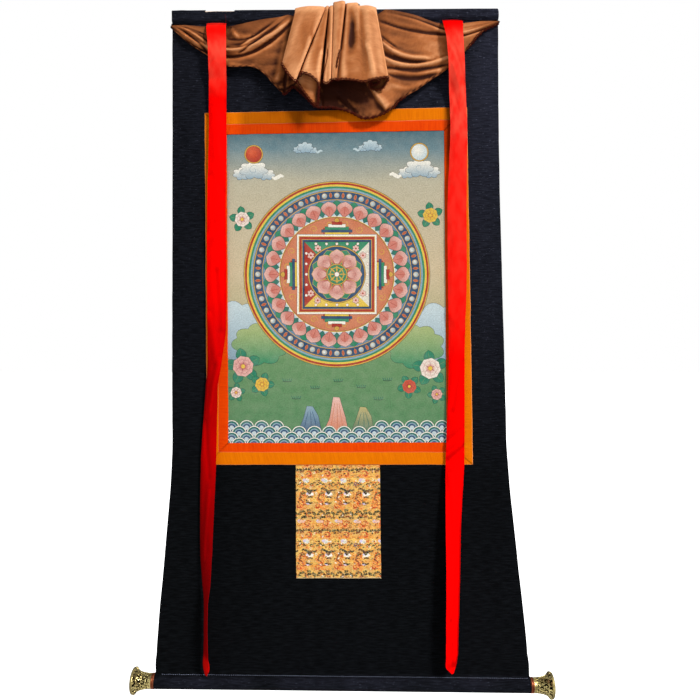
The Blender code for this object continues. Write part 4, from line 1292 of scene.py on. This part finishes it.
swag_lines, fall_lines = fold_lines(SWAG_FOLDS), fold_lines(FALL_FOLDS)
lobe_span, pleat_places = len(BACK_LOBE) - 1, []
for n, (here, after) in enumerate(zip(FRONT_FALL, FRONT_FALL[1:])):
    width = max(abs(after[k] - here[k]) for k in (0, 1, 3, 4))
    count = min(max(round(width / PLEAT_SPACING), PLEAT_FEWEST), PLEAT_MOST)
    pleat_places += [n + k / count for k in range(count)]
pleat_places.append(len(FRONT_FALL) - 1)
pleats = len(pleat_places) - 1
veil_columns = []
for n in range(SWAG_COLUMNS):
    veil_columns.append((smooth(LEFT_SWAG, n / SWAG_COLUMNS * (len(LEFT_SWAG) - 1)), None))
for n, pleat_place in enumerate(pleat_places):
    fall = smooth(FRONT_FALL, pleat_place)
    low_x, low_z, low_depth = smooth(BACK_LOBE, n / pleats * lobe_span)
    back = BEHIND_FALL + 0.25 * (fall[1] - FRONT_FALL[0][1])
    veil_columns.append(((low_x, low_z, low_depth, fall[0], fall[2] - BELOW_CREST, back), fall))
for n in range(SWAG_COLUMNS + 1):
    veil_columns.append((smooth(RIGHT_SWAG, n / SWAG_COLUMNS * (len(RIGHT_SWAG) - 1)), None))
# Where a swag goes in behind the fall, more columns carry its folds on.
for number in (SWAG_COLUMNS + pleats + 1, SWAG_COLUMNS):
    before, after = veil_columns[number - 1][0], veil_columns[number][0]
    joined = [(between(before, after, n / JOIN_COLUMNS), None) for n in range(1, JOIN_COLUMNS)]
    veil_columns[number:number] = joined
FALL_START = SWAG_COLUMNS + JOIN_COLUMNS - 1
FALL_END = FALL_START + pleats
row_count = 2 * ROLL_ROWS + SWAG_ROWS + CREST_ROWS + FALL_ROWS
veil_grid = [[None] * len(veil_columns) for _ in range(row_count)]
back_hem, fall_hem, fall_sides = [], [], ([], [])
for c, (swag, fall) in enumerate(veil_columns):
    low_x, low_z, low_depth, top_x, top_z, top_depth = swag
    column = []
    for r in range(SWAG_ROWS):
        share = r / (SWAG_ROWS - 1)
        x, z = between(low_x, top_x, share), between(low_z, top_z, share)
        corner = abs(abs(x) - VEIL_CORNER) / FOLD_FADE
        loose = min(1.0, TOP_FADE * (1 - share)) * min(corner, 1.0)
        lift = fold_height(swag_lines, x, z)
        lift = lift + 0.9 * wander(x, 2 * z, 30) + 0.12 * wander(x, 2 * z, 9)
        # the hem's thread draws its edge into small waves
        if share == 0.0 or r == 1:
            lift += 0.5 * math.sin(x / 2.1)
        depth = between(low_depth, top_depth, share) + SWAG_BULGE * math.sin(math.pi * share)
        depth += loose * lift
        # the ribbons leave less room behind them near the top
        for middle, half in PRESSED:
            over = ease(-(half + 8), -half, x - middle) * ease(-(half + 8), -half, middle - x)
            room = 9.0 + 8 * ease(36, 46, -z) + 4.5 * ease(46, 79, -z)
            depth -= over * max(0.0, depth - room)
        hem_z = 0.7 * wander(x, 40, 14) + 0.5 * wander(x, 90, 5)
        column.append((x, max(depth, 1.6), z + hem_z * (1 - share) ** 3))
    roll, middle = rolled_hem(column[0], column[2], ROLL_RADIUS)
    back_hem.append(middle)
    column = roll + column
    if fall:
        fall_x, fall_depth, crest, hem_x, hem_depth, hem_z = fall
        mid, half = (top_depth + fall_depth) / 2, (fall_depth - top_depth) / 2
        for r in range(CREST_ROWS):
            angle = math.pi * (r + 1) / (CREST_ROWS + 1)
            column.append((fall_x, mid - half * math.cos(angle),
                           top_z + (crest - top_z) * math.sin(angle)))
        for r in range(FALL_ROWS):
            share = r / (FALL_ROWS - 1)
            x, z = between(fall_x, hem_x, share), between(top_z, hem_z, share)
            lift = fold_height(fall_lines, x, z)
            lift = lift + 0.9 * wander(x, z * 0.35, 30) + 0.22 * wander(x, z, 13)
            depth = between(fall_depth, hem_depth, share) + 1.6 * math.sin(math.pi * share)
            column.append((x, depth + lift * min(1.0, 4 * share),
                           z + share ** 4 * 1.2 * wander(c * 3.0, 0, 8)))
        roll, middle = rolled_hem(column[-1], column[-3], ROLL_RADIUS * 0.8)
        fall_hem.append(middle)
        for side, number in ((0, FALL_START), (1, FALL_END)):
            if c == number:
                fall_sides[side].extend(column[ROLL_ROWS + SWAG_ROWS + CREST_ROWS:])
        column += roll[::-1]
    for r, point in enumerate(column):
        veil_grid[r][c] = point

# Flat places for the weave, from the lengths along the columns and an even run across them.
veil_flat = [[None] * len(veil_columns) for _ in range(row_count)]
across = 0.0
for c in range(len(veil_columns)):
    if c:
        row = ROLL_ROWS + (SWAG_ROWS if FALL_START < c <= FALL_END else 0)
        across += math.dist(veil_grid[row][c], veil_grid[row][c - 1])
    along = 0.0
    for r in range(row_count):
        if veil_grid[r][c] is None:
            break
        if r:
            along += math.dist(veil_grid[r][c], veil_grid[r - 1][c])
        veil_flat[r][c] = (across, along)


def cavity_shading(grid, reach, deep):
    """Painted shade and highlight for each point: a tone of 0.5 where the sheet is even, less, as
    painted shade, where it lies deeper than its surroundings and more, as painted highlight,
    where it stands proud of them, by a depth in millimetres."""
    tones = [[0.5] * len(grid[0]) for _ in grid]
    for r in range(len(grid)):
        for c in range(len(grid[0])):
            if grid[r][c] is None:
                continue
            around = []
            for near_r, near_c in ((r - reach, c), (r + reach, c), (r, c - reach), (r, c + reach)):
                if 0 <= near_r < len(grid) and 0 <= near_c < len(grid[0]) and grid[near_r][near_c]:
                    around.append(grid[near_r][near_c][1])
            if around:
                proud = grid[r][c][1] - sum(around) / len(around)
                tones[r][c] = min(max(0.5 + proud / deep / 2, 0.0), 1.0)
    return tones


def dusk(places, x, z):
    """How dark a place is in the cloth's own shade."""
    return sum(dark * math.exp(-((x - px) / across) ** 2 - ((z - pz) / down) ** 2)
               for px, pz, across, down, dark in places)


# Tones: painted shade in the folds' hollows and painted highlight on their crests, fine and broad,
# then the painted shade and light of the tables and constants above.
veil_tones, fine_tones = cavity_shading(veil_grid, 5, 2.6), cavity_shading(veil_grid, 2, 0.8)
for r, row in enumerate(veil_tones):
    for c in range(len(row)):
        if veil_grid[r][c] is None:
            continue
        x, depth, z = veil_grid[r][c]
        tone = 0.5 + 0.75 * (row[c] - 0.5) + 0.55 * (fine_tones[r][c] - 0.5)
        if r < ROLL_ROWS + SWAG_ROWS:
            tone -= SWAG_SHADE + dusk(SWAG_DUSK, x, z)
        else:
            tone += FALL_PAINTED_LIGHT - dusk(FALL_DUSK, x, z)
        if r < ROLL_ROWS:
            tone -= SWAG_HEM_SHADE
        elif r >= row_count - ROLL_ROWS:
            tone -= FALL_HEM_SHADE
        row[c] = min(max(tone, 0.0), 1.0)
veil = cloth_mesh("silk_veil_cloth", veil_grid, veil_flat, tones=veil_tones)
thicken(veil, VEIL_CLOTH)
veil_silk, tree, shader, place = cloth_material("brown_silk", 0.6, 0.08)
tone = tone_of(tree)
# The tone picks the colour: near black-brown as painted shade in the hollows, mid brown on even
# cloth, pale tan as painted highlight on the ridges.
colour = mix(tree, ranged(tree, tone, 0.0, 0.5), tint(44, 12, 3), tint(180, 108, 58))
colour = mix(tree, ranged(tree, tone, 0.5, 1.0), colour, tint(240, 172, 118))
slubs = lumps(tree, place, (40, 700, 1), 3.0)
cast = lumps(tree, place, (11, 8, 1))
crumple = lumps(tree, place, (130, 170, 1), 4.0, 0.36, 0.64)
colour = laid(tree, colour, slubs, 0.16, tint(206, 150, 110), "MULTIPLY")
colour = laid(tree, colour, crumple, 0.2, tint(186, 140, 108), "MULTIPLY")
colour = laid(tree, colour, cast, 0.1, tint(150, 84, 50))
tree.links.new(colour, shader.inputs["Base Color"])
weave = sum_of(tree, "ADD", threads(tree, place, 0.8, 0.7), slubs)
raise_threads(tree, shader, sum_of(tree, "MULTIPLY_ADD", crumple, 3.5, weave), 0.1)
veil.data.materials.append(veil_silk)


def arc_places(points, step):
    """Places an even step apart along a line of points."""
    places, spare = [Vector(points[0])], 0.0
    for a, b in zip(points, points[1:]):
        a, b = Vector(a), Vector(b)
        run = (b - a).length
        if run < 1e-6:
            continue
        travel = step - spare
        while travel <= run:
            places.append(a + (b - a) * (travel / run))
            travel += step
        spare = (spare + run) % step
    return places


def tube(places, radius, sides):
    """Points and faces of a closed round tube along places in millimetres."""
    points, faces = [], []
    for n, place in enumerate(places):
        ahead = (places[min(n + 1, len(places) - 1)] - places[max(n - 1, 0)]).normalized()
        side = ahead.cross(Vector((0.3, 0.9, 0.31))).normalized()
        up = ahead.cross(side)
        for s in range(sides):
            turn = math.tau * s / sides
            points.append(place + radius * (side * math.cos(turn) + up * math.sin(turn)))
        if n:
            for s in range(sides):
                a, b = (n - 1) * sides + s, (n - 1) * sides + (s + 1) % sides
                faces.append((a, b, b + sides, a + sides))
    faces.append(tuple(range(sides))[::-1])
    faces.append(tuple(range(len(points) - sides, len(points))))
    return points, faces


def tubes_mesh(name, runs, radius, sides=5):
    """One piece of many tubes, with its faces turned outwards."""
    points, faces = [], []
    for places in runs:
        more, cells = tube(places, radius, sides)
        faces += [tuple(corner + len(points) for corner in cell) for cell in cells]
        points += more
    piece = new_piece(name, points, faces)
    edit_whole(piece, bpy.ops.mesh.normals_make_consistent, inside=False)
    bpy.ops.object.shade_smooth_by_angle(angle=math.radians(60))
    return piece


def overlocked(points, reach=LOOP_RADIUS):
    """The path of a thread wound round an edge."""
    places = arc_places(points, THREAD_PITCH / THREAD_STEPS)
    path = []
    for n, place in enumerate(places):
        ahead = (places[min(n + 1, len(places) - 1)] - places[max(n - 1, 0)]).normalized()
        side = ahead.cross(Vector((0.0, 1.0, 0.1))).normalized()
        up = ahead.cross(side)
        turn = math.tau * n / THREAD_STEPS
        wide = reach * (1 + 0.35 * math.sin(n / 4.1))
        path.append(place + wide * (side * math.cos(turn) + up * math.sin(turn)))
    return path


# The back hem is overlocked along the lobe and towards the right corner.
dark_part = [n for n, (x, _, _) in enumerate(back_hem) if -104 < x < 140 or x > 262]
runs, start = [], 0
for n in range(1, len(dark_part) + 1):
    if n == len(dark_part) or dark_part[n] != dark_part[n - 1] + 1:
        runs.append([back_hem[k] for k in dark_part[start:n]])
        start = n
runs += [fall_hem, fall_sides[0], fall_sides[1]]


def cloth_depth(rows, x, z, sheet):
    """Depth of a sheet's nearest point among some of its rows."""
    points = [point for r in rows for point in sheet[r] if point]
    return min(points, key=lambda point: (point[0] - x) ** 2 + (point[2] - z) ** 2)[1]


fall_rows = range(ROLL_ROWS + SWAG_ROWS + CREST_ROWS, row_count - ROLL_ROWS)
seam_line = [(x, cloth_depth(fall_rows, x, z, veil_grid) + 1.4, z) for x, z in PLEAT_SEAM]
crest_line = []
for c in range(FALL_START, FALL_END + 1):
    crowns = [veil_grid[ROLL_ROWS + SWAG_ROWS + r][c] for r in range(CREST_ROWS)]
    if -3.0 < crowns[0][0] < 17.0 and max(crown[2] for crown in crowns) > 1.0:
        x, depth, z = max(crowns, key=lambda crown: crown[2])
        crest_line.append((x, depth + 1.0, z + 0.4))
stitched = [overlocked(run) for run in runs]
stitched += [overlocked(seam_line, reach=1.2), overlocked(crest_line, reach=1.0)]
overlock = tubes_mesh("veil_overlock_thread", stitched, THREAD_RADIUS, 4)


def thread_material(name, light, dark):
    """Spun thread, its colour mixed at random between a light and a dark."""
    thread, tree, shader = plain_material(name, 0.6, 0.06)
    fibres = lumps(tree, add_node(tree, "TexCoord").outputs["Object"], (900, 900, 900))
    tree.links.new(mix(tree, fibres, light, dark), shader.inputs["Base Color"])
    raise_threads(tree, shader, fibres, 0.1)
    return thread


overlock.data.materials.append(
    thread_material("dark_brown_thread", tint(98, 30, 20), tint(46, 10, 6)))
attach(overlock, "root")
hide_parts("silk_veil")
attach(veil, "root")

# Ribbons. Two lengths of red satin ribbon hang from the sleeve's seam over the veil and the
# borders. They twist a little as they fall, and show the creases of having been rolled up.
RIBBON_CLOTH = 0.6
RIBBON_BOW = 2.2
RIBBON_WIDTH = 38.0
RIBBON_FIBRES = 22
RIBBON_SHARES = [fibre / RIBBON_FIBRES for fibre in range(RIBBON_FIBRES + 1)]
RIBBON_STEP = 3.3
# Columns: z, x and depth of each edge.
LEFT_RIBBON = (
    (-27.6, -256.1, 2.9, -217.4, 2.9), (-31, -255.8, 6, -217.1, 6),
    (-36, -255, 12, -216.5, 12), (-46, -253.5, 19, -215.1, 19),
    (-79, -249.9, 25, -213.5, 25), (-104, -249.3, 24, -213.8, 24),
    (-140, -250, 13, -215.3, 12), (-202, -250.8, 9, -216.2, 7),
    (-251, -251, 9, -216.4, 7), (-380, -254.4, 8, -217.4, 7),
    (-540, -255.1, 7, -216.4, 7), (-640, -254.2, 7, -217.4, 7),
    (-709, -254, 7, -223.3, 23.5), (-748, -257, 7, -229.1, 28.5),
    (-896, -266.6, 7, -233.9, 22), (-1076, -268.2, 7, -240.3, 28.5),
    (-1131, -264.9, 7, -242.8, 33.5), (-1180, -261.2, 7, -247.2, 39),
    (-1249, -261.4, 7, -247.6, 39), (-1282, -261.6, 8, -246.9, 37),
    (-1297, -262.6, 8, -246.2, 29), (-1311, -262, 8, -247.4, 24),
    (-1322, -259.4, 9, -252, 20),
)
RIGHT_RIBBON = (
    (-21.4, 212.7, 2.9, 253.2, 2.9), (-24, 212.8, 7.5, 252.8, 7.5),
    (-28, 213, 14, 252.4, 14), (-38, 214, 20, 252, 20),
    (-63, 218.3, 26, 251.8, 26), (-99, 221.5, 27, 254.2, 26),
    (-127, 223.5, 24, 256, 22), (-162, 226, 12, 258.8, 12),
    (-202, 228.5, 7, 261.3, 9), (-251, 228.9, 7, 262.3, 9),
    (-380, 223.6, 7, 261.5, 7), (-540, 224.2, 7, 261.7, 7),
    (-659, 225.6, 7, 258, 7), (-779, 224.6, 7, 257.4, 7),
    (-898, 219.8, 7, 257, 7), (-1017, 218.4, 18.5, 250.8, 7),
    (-1132, 218.6, 26, 248.2, 7), (-1283, 217.4, 29, 244, 8),
    (-1304, 218.2, 25, 241, 8), (-1316, 228.7, 23.5, 234.7, 18),
)
# Creases. Columns: share across where it starts, its z, share where it ends, its z, height, width.
LEFT_CREASES = (
    (0, -58, 1, -74, 1.4, 7), (0.1, -112, 0.9, -96, -1.2, 6), (0, -150, 0.8, -172, 1.2, 8),
    (0.3, -205, 0.5, -290, 0.9, 7), (0.2, -330, 0.9, -362, -0.9, 9), (0, -455, 0.7, -430, 0.9, 9),
    (0.5, -520, 0.7, -640, -1.1, 6), (0.1, -610, 0.6, -700, 1.6, 7), (0.8, -700, 0.4, -800, 1.6, 6),
    (0.2, -820, 0.6, -930, -1.4, 6), (0.6, -960, 0.3, -1090, 1.4, 5),
    (0.2, -1120, 0.6, -1240, 1.2, 5),
)
RIGHT_CREASES = (
    (0.2, -32, 0.7, -72, 1.5, 6), (0.4, -84, 1, -154, -1.8, 4), (0.3, -120, 0.8, -178, 1.4, 5),
    (0.15, -150, 0.5, -205, -1.1, 5), (0.3, -240, 0.8, -268, 0.9, 8),
    (0.1, -330, 0.9, -350, 0.8, 8), (0.4, -420, 0.6, -560, 1, 7), (0, -600, 0.9, -640, 1.2, 8),
    (0.8, -700, 0.3, -800, -1.1, 6), (0, -870, 1, -842, 2, 7), (0.1, -895, 1, -868, -1.6, 6),
    (0.3, -930, 0.6, -1060, 1.3, 5), (0.6, -1090, 0.4, -1200, 1.2, 5),
    (0.35, -1210, 0.6, -1300, -1, 4),
)
# Painted sheen and painted shade down each ribbon's length: paler as the satin's sheen, darker
# where it turns away from the light. Columns: z, share painted paler, share painted darker.
LEFT_SHEEN_AND_SHADE = (
    (-27, 0.2, 0), (-56, 0.1, 0), (-84, 0.9, 0), (-110, 0.75, 0), (-150, 0.35, 0), (-180, 0, 0),
    (-400, 0, 0), (-560, 0, 0.1), (-640, 0, 0.4), (-860, 0, 0.45), (-930, 0, 0.62),
    (-1020, 0, 0.78), (-1276, 0, 0.78), (-1292, 0.1, 0.2), (-1330, 0.1, 0.2),
)
RIGHT_SHEEN_AND_SHADE = (
    (-21, 0, 0.1), (-46, 0.1, 0.05), (-66, 0.9, 0), (-240, 0.9, 0), (-262, 0.45, 0),
    (-400, 0.32, 0), (-480, 0.28, 0), (-640, 0.1, 0), (-700, 0, 0), (-1100, 0, 0.05),
    (-1330, 0, 0.12),
)


def crease(x, z, left, right, rows):
    """Height of the creases at a share x across, where the ribbon's edges are left and right."""
    lift, width = 0.0, max(math.dist(left, right), 20.0)
    for ax, az, bx, bz, height, soft in rows:
        px, pz, qx, qz = ax * width, az, bx * width, bz
        run = (qx - px) ** 2 + (qz - pz) ** 2
        t = min(max(((x * width - px) * (qx - px) + (z - pz) * (qz - pz)) / run, 0.0), 1.0)
        off = math.hypot(x * width - px - t * (qx - px), z - pz - t * (qz - pz))
        lift += height * math.exp(-(off / soft) ** 2)
    return lift


ribbon_red, tree, shader, place = cloth_material("red_satin", 0.5, 0.01)
sheen_and_shade = add_node(tree, "SeparateColor", Color=tone_of(tree, "sheen_and_shade"))
blots = lumps(tree, place, (70, 34, 1), 3.0, 0.34, 0.6)
# The tone from the creases' hollows picks a darker red as painted shade.
colour = mix(tree, ranged(tree, tone_of(tree), 0.1, 0.55), tint(186, 0, 0), tint(250, 1, 0))
uneven = sum_of(tree, "MULTIPLY_ADD", blots, 0.6, 0.4)
# The first share lays a pale pink painted sheen over the red, the second a dark red painted shade.
colour = laid(tree, colour, sheen_and_shade.outputs[0], uneven, tint(255, 72, 54))
colour = mix(tree, sheen_and_shade.outputs[1], colour, tint(108, 0, 4))
tree.links.new(colour, shader.inputs["Base Color"])
raise_threads(tree, shader, ribbing(tree, place, "Y", 0.9, 0.8), 0.06)
for side, rows, creases, sheen_shade_rows in (("left", LEFT_RIBBON, LEFT_CREASES, LEFT_SHEEN_AND_SHADE),
                                       ("right", RIGHT_RIBBON, RIGHT_CREASES, RIGHT_SHEEN_AND_SHADE)):
    top, foot = rows[0][0], rows[-1][0]
    grid, flat, along = [], [], 0.0
    count = round((top - foot) / RIBBON_STEP)
    for step in range(count + 1):
        z = between(top, foot, step / count)
        _, left, left_depth, right, right_depth = read_table(rows, z)
        edges = (left, left_depth), (right, right_depth)
        line = []
        for share in RIBBON_SHARES:
            bow = RIBBON_BOW * 4 * share * (1 - share)
            selvedge = 0.35 * math.exp(-(min(share, 1 - share) / 0.05) ** 2)
            fold = crease(share, z, *edges, creases) * ease(0, 25, top - z)
            ripple = 0.5 * wander(share * 40 + 900, z * 0.4, 14)
            uneven = 0.45 * wander(5 if share < 0.5 else 70, z, 30) * abs(2 * share - 1)
            depth = between(left_depth, right_depth, share) + bow + selvedge + fold + ripple
            line.append((between(left, right, share) + uneven, max(depth, 2.6), z))
        if grid:
            along += math.dist(line[RIBBON_FIBRES // 2], grid[-1][RIBBON_FIBRES // 2])
        grid.append(line)
        flat.append([(share * RIBBON_WIDTH, -along) for share in RIBBON_SHARES])
    ribbon = cloth_mesh("satin_ribbon_" + side, grid, flat, tones=cavity_shading(grid, 3, 1.6))
    # Each point reads its shares of painted sheen and painted shade from the table.
    worn = [read_table(sheen_shade_rows, vertex.co.z / MM) for vertex in ribbon.data.vertices]
    colour_points(ribbon, "sheen_and_shade",
                  [(max(pale, 0.0), max(painted_dark, 0.0), 0.0) for _, pale, painted_dark in worn])
    thicken(ribbon, RIBBON_CLOTH)
    ribbon.data.materials.append(ribbon_red)
    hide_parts("ribbon_" + side)
    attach(ribbon, "root")

# Finials. A flared cap of cast brass, chased all over its neck with scrolls and left dark in the
# hollows, is pushed on each end of the rod against a plain copper ring.
FINIAL_LEFT_START = -360.5
FINIAL_RIGHT_START = 389.6
RING_WIDTH = 5.5
BORE_RADIUS = ROD_RADIUS + GAP
BORE_LENGTH = 27.0
# Columns: along, radius.
FINIAL_PROFILE = (
    (5.8, 14.9), (12, 14.9), (20, 15.7), (27, 17.2), (32, 19.2), (35.5, 22), (38, 25.2),
    (40, 26.3), (42.5, 26.2), (44.2, 24.6), (45.6, 20), (46.8, 11), (47.2, 1),
)
AROUND = 240
TURN_STEP = 0.42
SCROLLS_AROUND = 11
SCROLL_ROWS = ((11.6, 1), (20.4, -1), (29.0, 1), (37.0, -1))
SCROLL_PITCH = 9.4
SCROLL_REACH = 6.0
LEAF_ROWS = 5
CHASED_START = 7.2
CHASED_END = 39.8
CHASED_DEPTH = 1.6
RIM_WIDTH = 1.2
# The ring has two beads. Columns: along, radius.
RING_PROFILE = (
    (0, 14.6), (0.35, 15.05), (0.9, 15.2), (1.7, 15.2), (2.2, 14.9), (2.75, 14.6),
    (3.3, 14.9), (3.8, 15.2), (4.6, 15.2), (5.15, 15.05), (5.5, 14.6),
)


def chased(along, turn):
    """Relief of the scrollwork, from 0 in its ground to 1 on top. The lip beyond is plain."""
    if along > CHASED_END:
        return 0.52
    if along < CHASED_START:
        return 1.0
    best = max(ease(CHASED_START + RIM_WIDTH, CHASED_START + RIM_WIDTH / 2, along),
               ease(CHASED_END - RIM_WIDTH, CHASED_END - RIM_WIDTH / 2, along))
    number = turn / math.tau * SCROLLS_AROUND
    for row, (middle, way) in enumerate(SCROLL_ROWS):
        if abs(along - middle) > SCROLL_REACH:
            continue
        shifted = number + 0.5 * (row % 2)
        off = (shifted - round(shifted)) * SCROLL_PITCH
        way *= 1 if round(shifted) % 2 else -1
        reach = math.hypot(off, along - middle)
        arm = math.sin(math.atan2(along - middle, off) * way - reach * 1.45)
        best = max(best, ease(0.12, 0.46, arm) * ease(-5.6, -4.8, -reach),
                   ease(-1.35, -0.95, -reach))
    # small round leaves between the scrolls
    off = (number * 2 - round(number * 2)) * 4.2
    for row in range(LEAF_ROWS):
        middle = 7.4 + 8.6 * row
        best = max(best, ease(-1.3, -0.9, -math.hypot(off * 0.8, along - middle)))
    return best


def draw_out(distance, spread, end):
    """The chosen face is drawn out along X by a distance, and spread about the axis at its end."""
    bpy.ops.mesh.extrude_region_move(TRANSFORM_OT_translate={"value": (distance * MM, 0, 0)})
    bpy.ops.transform.resize(value=(1.0, spread, spread), center_override=(end * MM, 0.0, 0.0))


def turned_by_hand(name, profile, bore_length):
    """A turned piece on the X axis: a disc is drawn out and drawn in along a profile, and its
    first face is sunk as a bore."""
    start, first_radius = profile[0]
    bpy.ops.object.select_all(action="DESELECT")
    bpy.ops.mesh.primitive_circle_add(vertices=AROUND, radius=first_radius * MM, fill_type="NGON",
                                      location=(start * MM, 0.0, 0.0),
                                      rotation=(0.0, math.radians(90), 0.0))
    piece = bpy.context.object
    piece.name = name
    piece.data.name = name
    bpy.ops.object.transform_apply(location=True, rotation=True, scale=True)
    bpy.ops.object.mode_set(mode="EDIT")
    bpy.ops.mesh.select_all(action="SELECT")
    for (before, wide), (after, narrow) in zip(profile, profile[1:]):
        draw_out(after - before, narrow / wide, after)
    bpy.ops.mesh.select_all(action="DESELECT")
    bpy.ops.object.mode_set(mode="OBJECT")
    for face in piece.data.polygons:
        face.select = len(face.vertices) == AROUND and abs(face.center.x / MM - start) < 0.01
    bpy.ops.object.mode_set(mode="EDIT")
    bpy.ops.mesh.select_mode(type="FACE")
    draw_out(0, BORE_RADIUS / first_radius, start)
    bpy.ops.mesh.extrude_region_move(TRANSFORM_OT_translate={"value": (bore_length * MM, 0, 0)})
    bpy.ops.mesh.select_all(action="SELECT")
    bpy.ops.mesh.remove_doubles(threshold=0.000005)
    bpy.ops.mesh.normals_make_consistent(inside=False)
    bpy.ops.object.mode_set(mode="OBJECT")
    return piece


def smooth_profile(rows, step):
    """The rows of a profile read at an even step, so that its curves are round."""
    places = []
    for n in range(len(rows) - 1):
        count = max(1, math.ceil(math.dist(rows[n], rows[n + 1]) / step))
        places += [smooth(rows, n + k / count) for k in range(count)]
    return places + [rows[-1]]


def put_on_rod(piece, start, way):
    """The piece goes from the X axis to its place on the rod, its far end pointing way."""
    tilt = math.atan(ROD_DROP_PER_MM)
    turn = Matrix.Rotation(tilt, 4, "Y") @ Matrix.Rotation(0.0 if way > 0 else math.pi, 4, "Z")
    piece.data.transform(Matrix.Translation((start * MM, 0.0, rod_z(start) * MM)) @ turn)


def metal(name, hollow, worn, bright, roughness):
    """Cast metal: bright on its high places, browned in patches and dark in its hollows."""
    material, tree, shader = plain_material(name, roughness)
    shader.inputs["Metallic"].default_value = 1.0
    place = add_node(tree, "TexCoord").outputs["Object"]
    patina = lumps(tree, place, (90, 90, 90), 3.0, 0.35, 0.7)
    grain = lumps(tree, place, (900, 900, 900))
    height = tone_of(tree, "relief")
    body = laid(tree, bright, patina, 0.75, worn)
    tree.links.new(mix(tree, height, hollow, body), shader.inputs["Base Color"])
    rough = ranged(tree, height, 0.0, 1.0, 0.75, roughness)
    tree.links.new(sum_of(tree, "MULTIPLY_ADD", grain, 0.12, rough), shader.inputs["Roughness"])
    raise_threads(tree, shader, sum_of(tree, "ADD", grain, patina), 0.08)
    return material


brass = metal("antique_brass", tint(5, 2, 1), tint(108, 78, 32), tint(255, 236, 162), 0.22)
copper = metal("worn_copper", tint(44, 18, 10), tint(104, 46, 26), tint(186, 108, 74), 0.42)
for side, start, way in (("left", FINIAL_LEFT_START, -1), ("right", FINIAL_RIGHT_START, 1)):
    cap = turned_by_hand("brass_finial_" + side, smooth_profile(FINIAL_PROFILE, TURN_STEP),
                         BORE_LENGTH)
    collar = turned_by_hand("copper_ring_" + side, smooth_profile(RING_PROFILE, TURN_STEP),
                            RING_WIDTH)
    for piece, material in ((cap, brass), (collar, copper)):
        heights = []
        for vertex in piece.data.vertices:
            along, y, z = vertex.co / MM
            radius = math.hypot(y, z)
            height = ease(14.5, 15.1, radius) if piece is collar else 1.0
            if piece is cap and radius > BORE_RADIUS + 0.4:
                height = chased(along, math.atan2(z, y))
                sink = CHASED_DEPTH * (1 - height) / radius
                vertex.co.y *= 1 - sink
                vertex.co.z *= 1 - sink
            heights.append(height)
        colour_points(piece, "relief", heights)
        put_on_rod(piece, start, way)
        choose(piece)
        bpy.ops.object.shade_smooth_by_angle(angle=math.radians(40))
        piece.data.materials.append(material)
        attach(piece, "root")
    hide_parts("finial_" + side)
    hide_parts("finial_ring_" + side)

# Stitches and ties. Running stitches in blue-grey thread close the rod's pocket, dark knots tie
# the veil's corners and its upper edge to the sleeve, and a loose red end hangs by a ribbon.
FIRST_STITCH = -346.0
LAST_STITCH = 384.0
STITCH_LENGTH = 3.0
POCKET_STITCH_PITCH = 4.3
POCKET_STITCH_HEIGHT = 15.4
POCKET_FRONT = 4.6
KNOT_TURNS = 22
STITCH_RADIUS = 0.38
KNOT_THREAD = 0.7
# Columns: x, z, depth, radius of the knot.
KNOTS = (
    (-326, -36, 5.2, 2.6), (-325, -31, 4.6, 1.8), (325.6, -25.6, 5, 2.2), (319, -22, 4.6, 1.4),
    (-211, -33.5, 7.6, 1.3), (-207, -38, 8, 1), (46.6, -6.5, 34, 1.6),
)
stitches = []
x = FIRST_STITCH
while x < LAST_STITCH:
    run = []
    for part in (0.0, 0.33, 0.67, 1.0):
        stitch_x = x + STITCH_LENGTH * part
        depth = POCKET_FRONT + panel_wave(stitch_x, -1326) - abs(2 * part - 1) ** 3
        z = rod_z(stitch_x) + POCKET_STITCH_HEIGHT + 0.3 * wander(stitch_x, 0, 9)
        run.append(Vector((stitch_x, depth, z)))
    stitches.append(run)
    x += POCKET_STITCH_PITCH
pocket_thread = tubes_mesh("pocket_running_stitch", stitches, STITCH_RADIUS, 4)
pocket_thread.data.materials.append(
    thread_material("blue_grey_thread", tint(150, 156, 178), tint(88, 94, 114)))
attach(pocket_thread, "root")
ties = []
for x, z, depth, radius in KNOTS:
    wound = []
    for n in range(KNOT_TURNS):
        turn = 2.4 * n
        wound.append(Vector((x + radius * math.cos(turn) * math.cos(0.3 * n),
                             depth + radius * 0.5 * math.sin(0.7 * n),
                             z + radius * math.sin(turn))))
    ties.append(wound)
tie_threads = tubes_mesh("veil_tie_knots", ties, KNOT_THREAD)
tie_threads.data.materials.append(
    thread_material("black_brown_thread", tint(40, 16, 12), tint(16, 6, 6)))
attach(tie_threads, "root")
loose = [Vector((-218.0 + 0.8 * math.sin(n / 3), 7.6 + 0.1 * n, -28.0 + 1.2 * n))
         for n in range(14)]
loose_end = tubes_mesh("loose_red_end", [loose], 0.3)
loose_end.data.materials.append(
    thread_material("red_thread", tint(120, 24, 20), tint(70, 12, 12)))
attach(loose_end, "root")
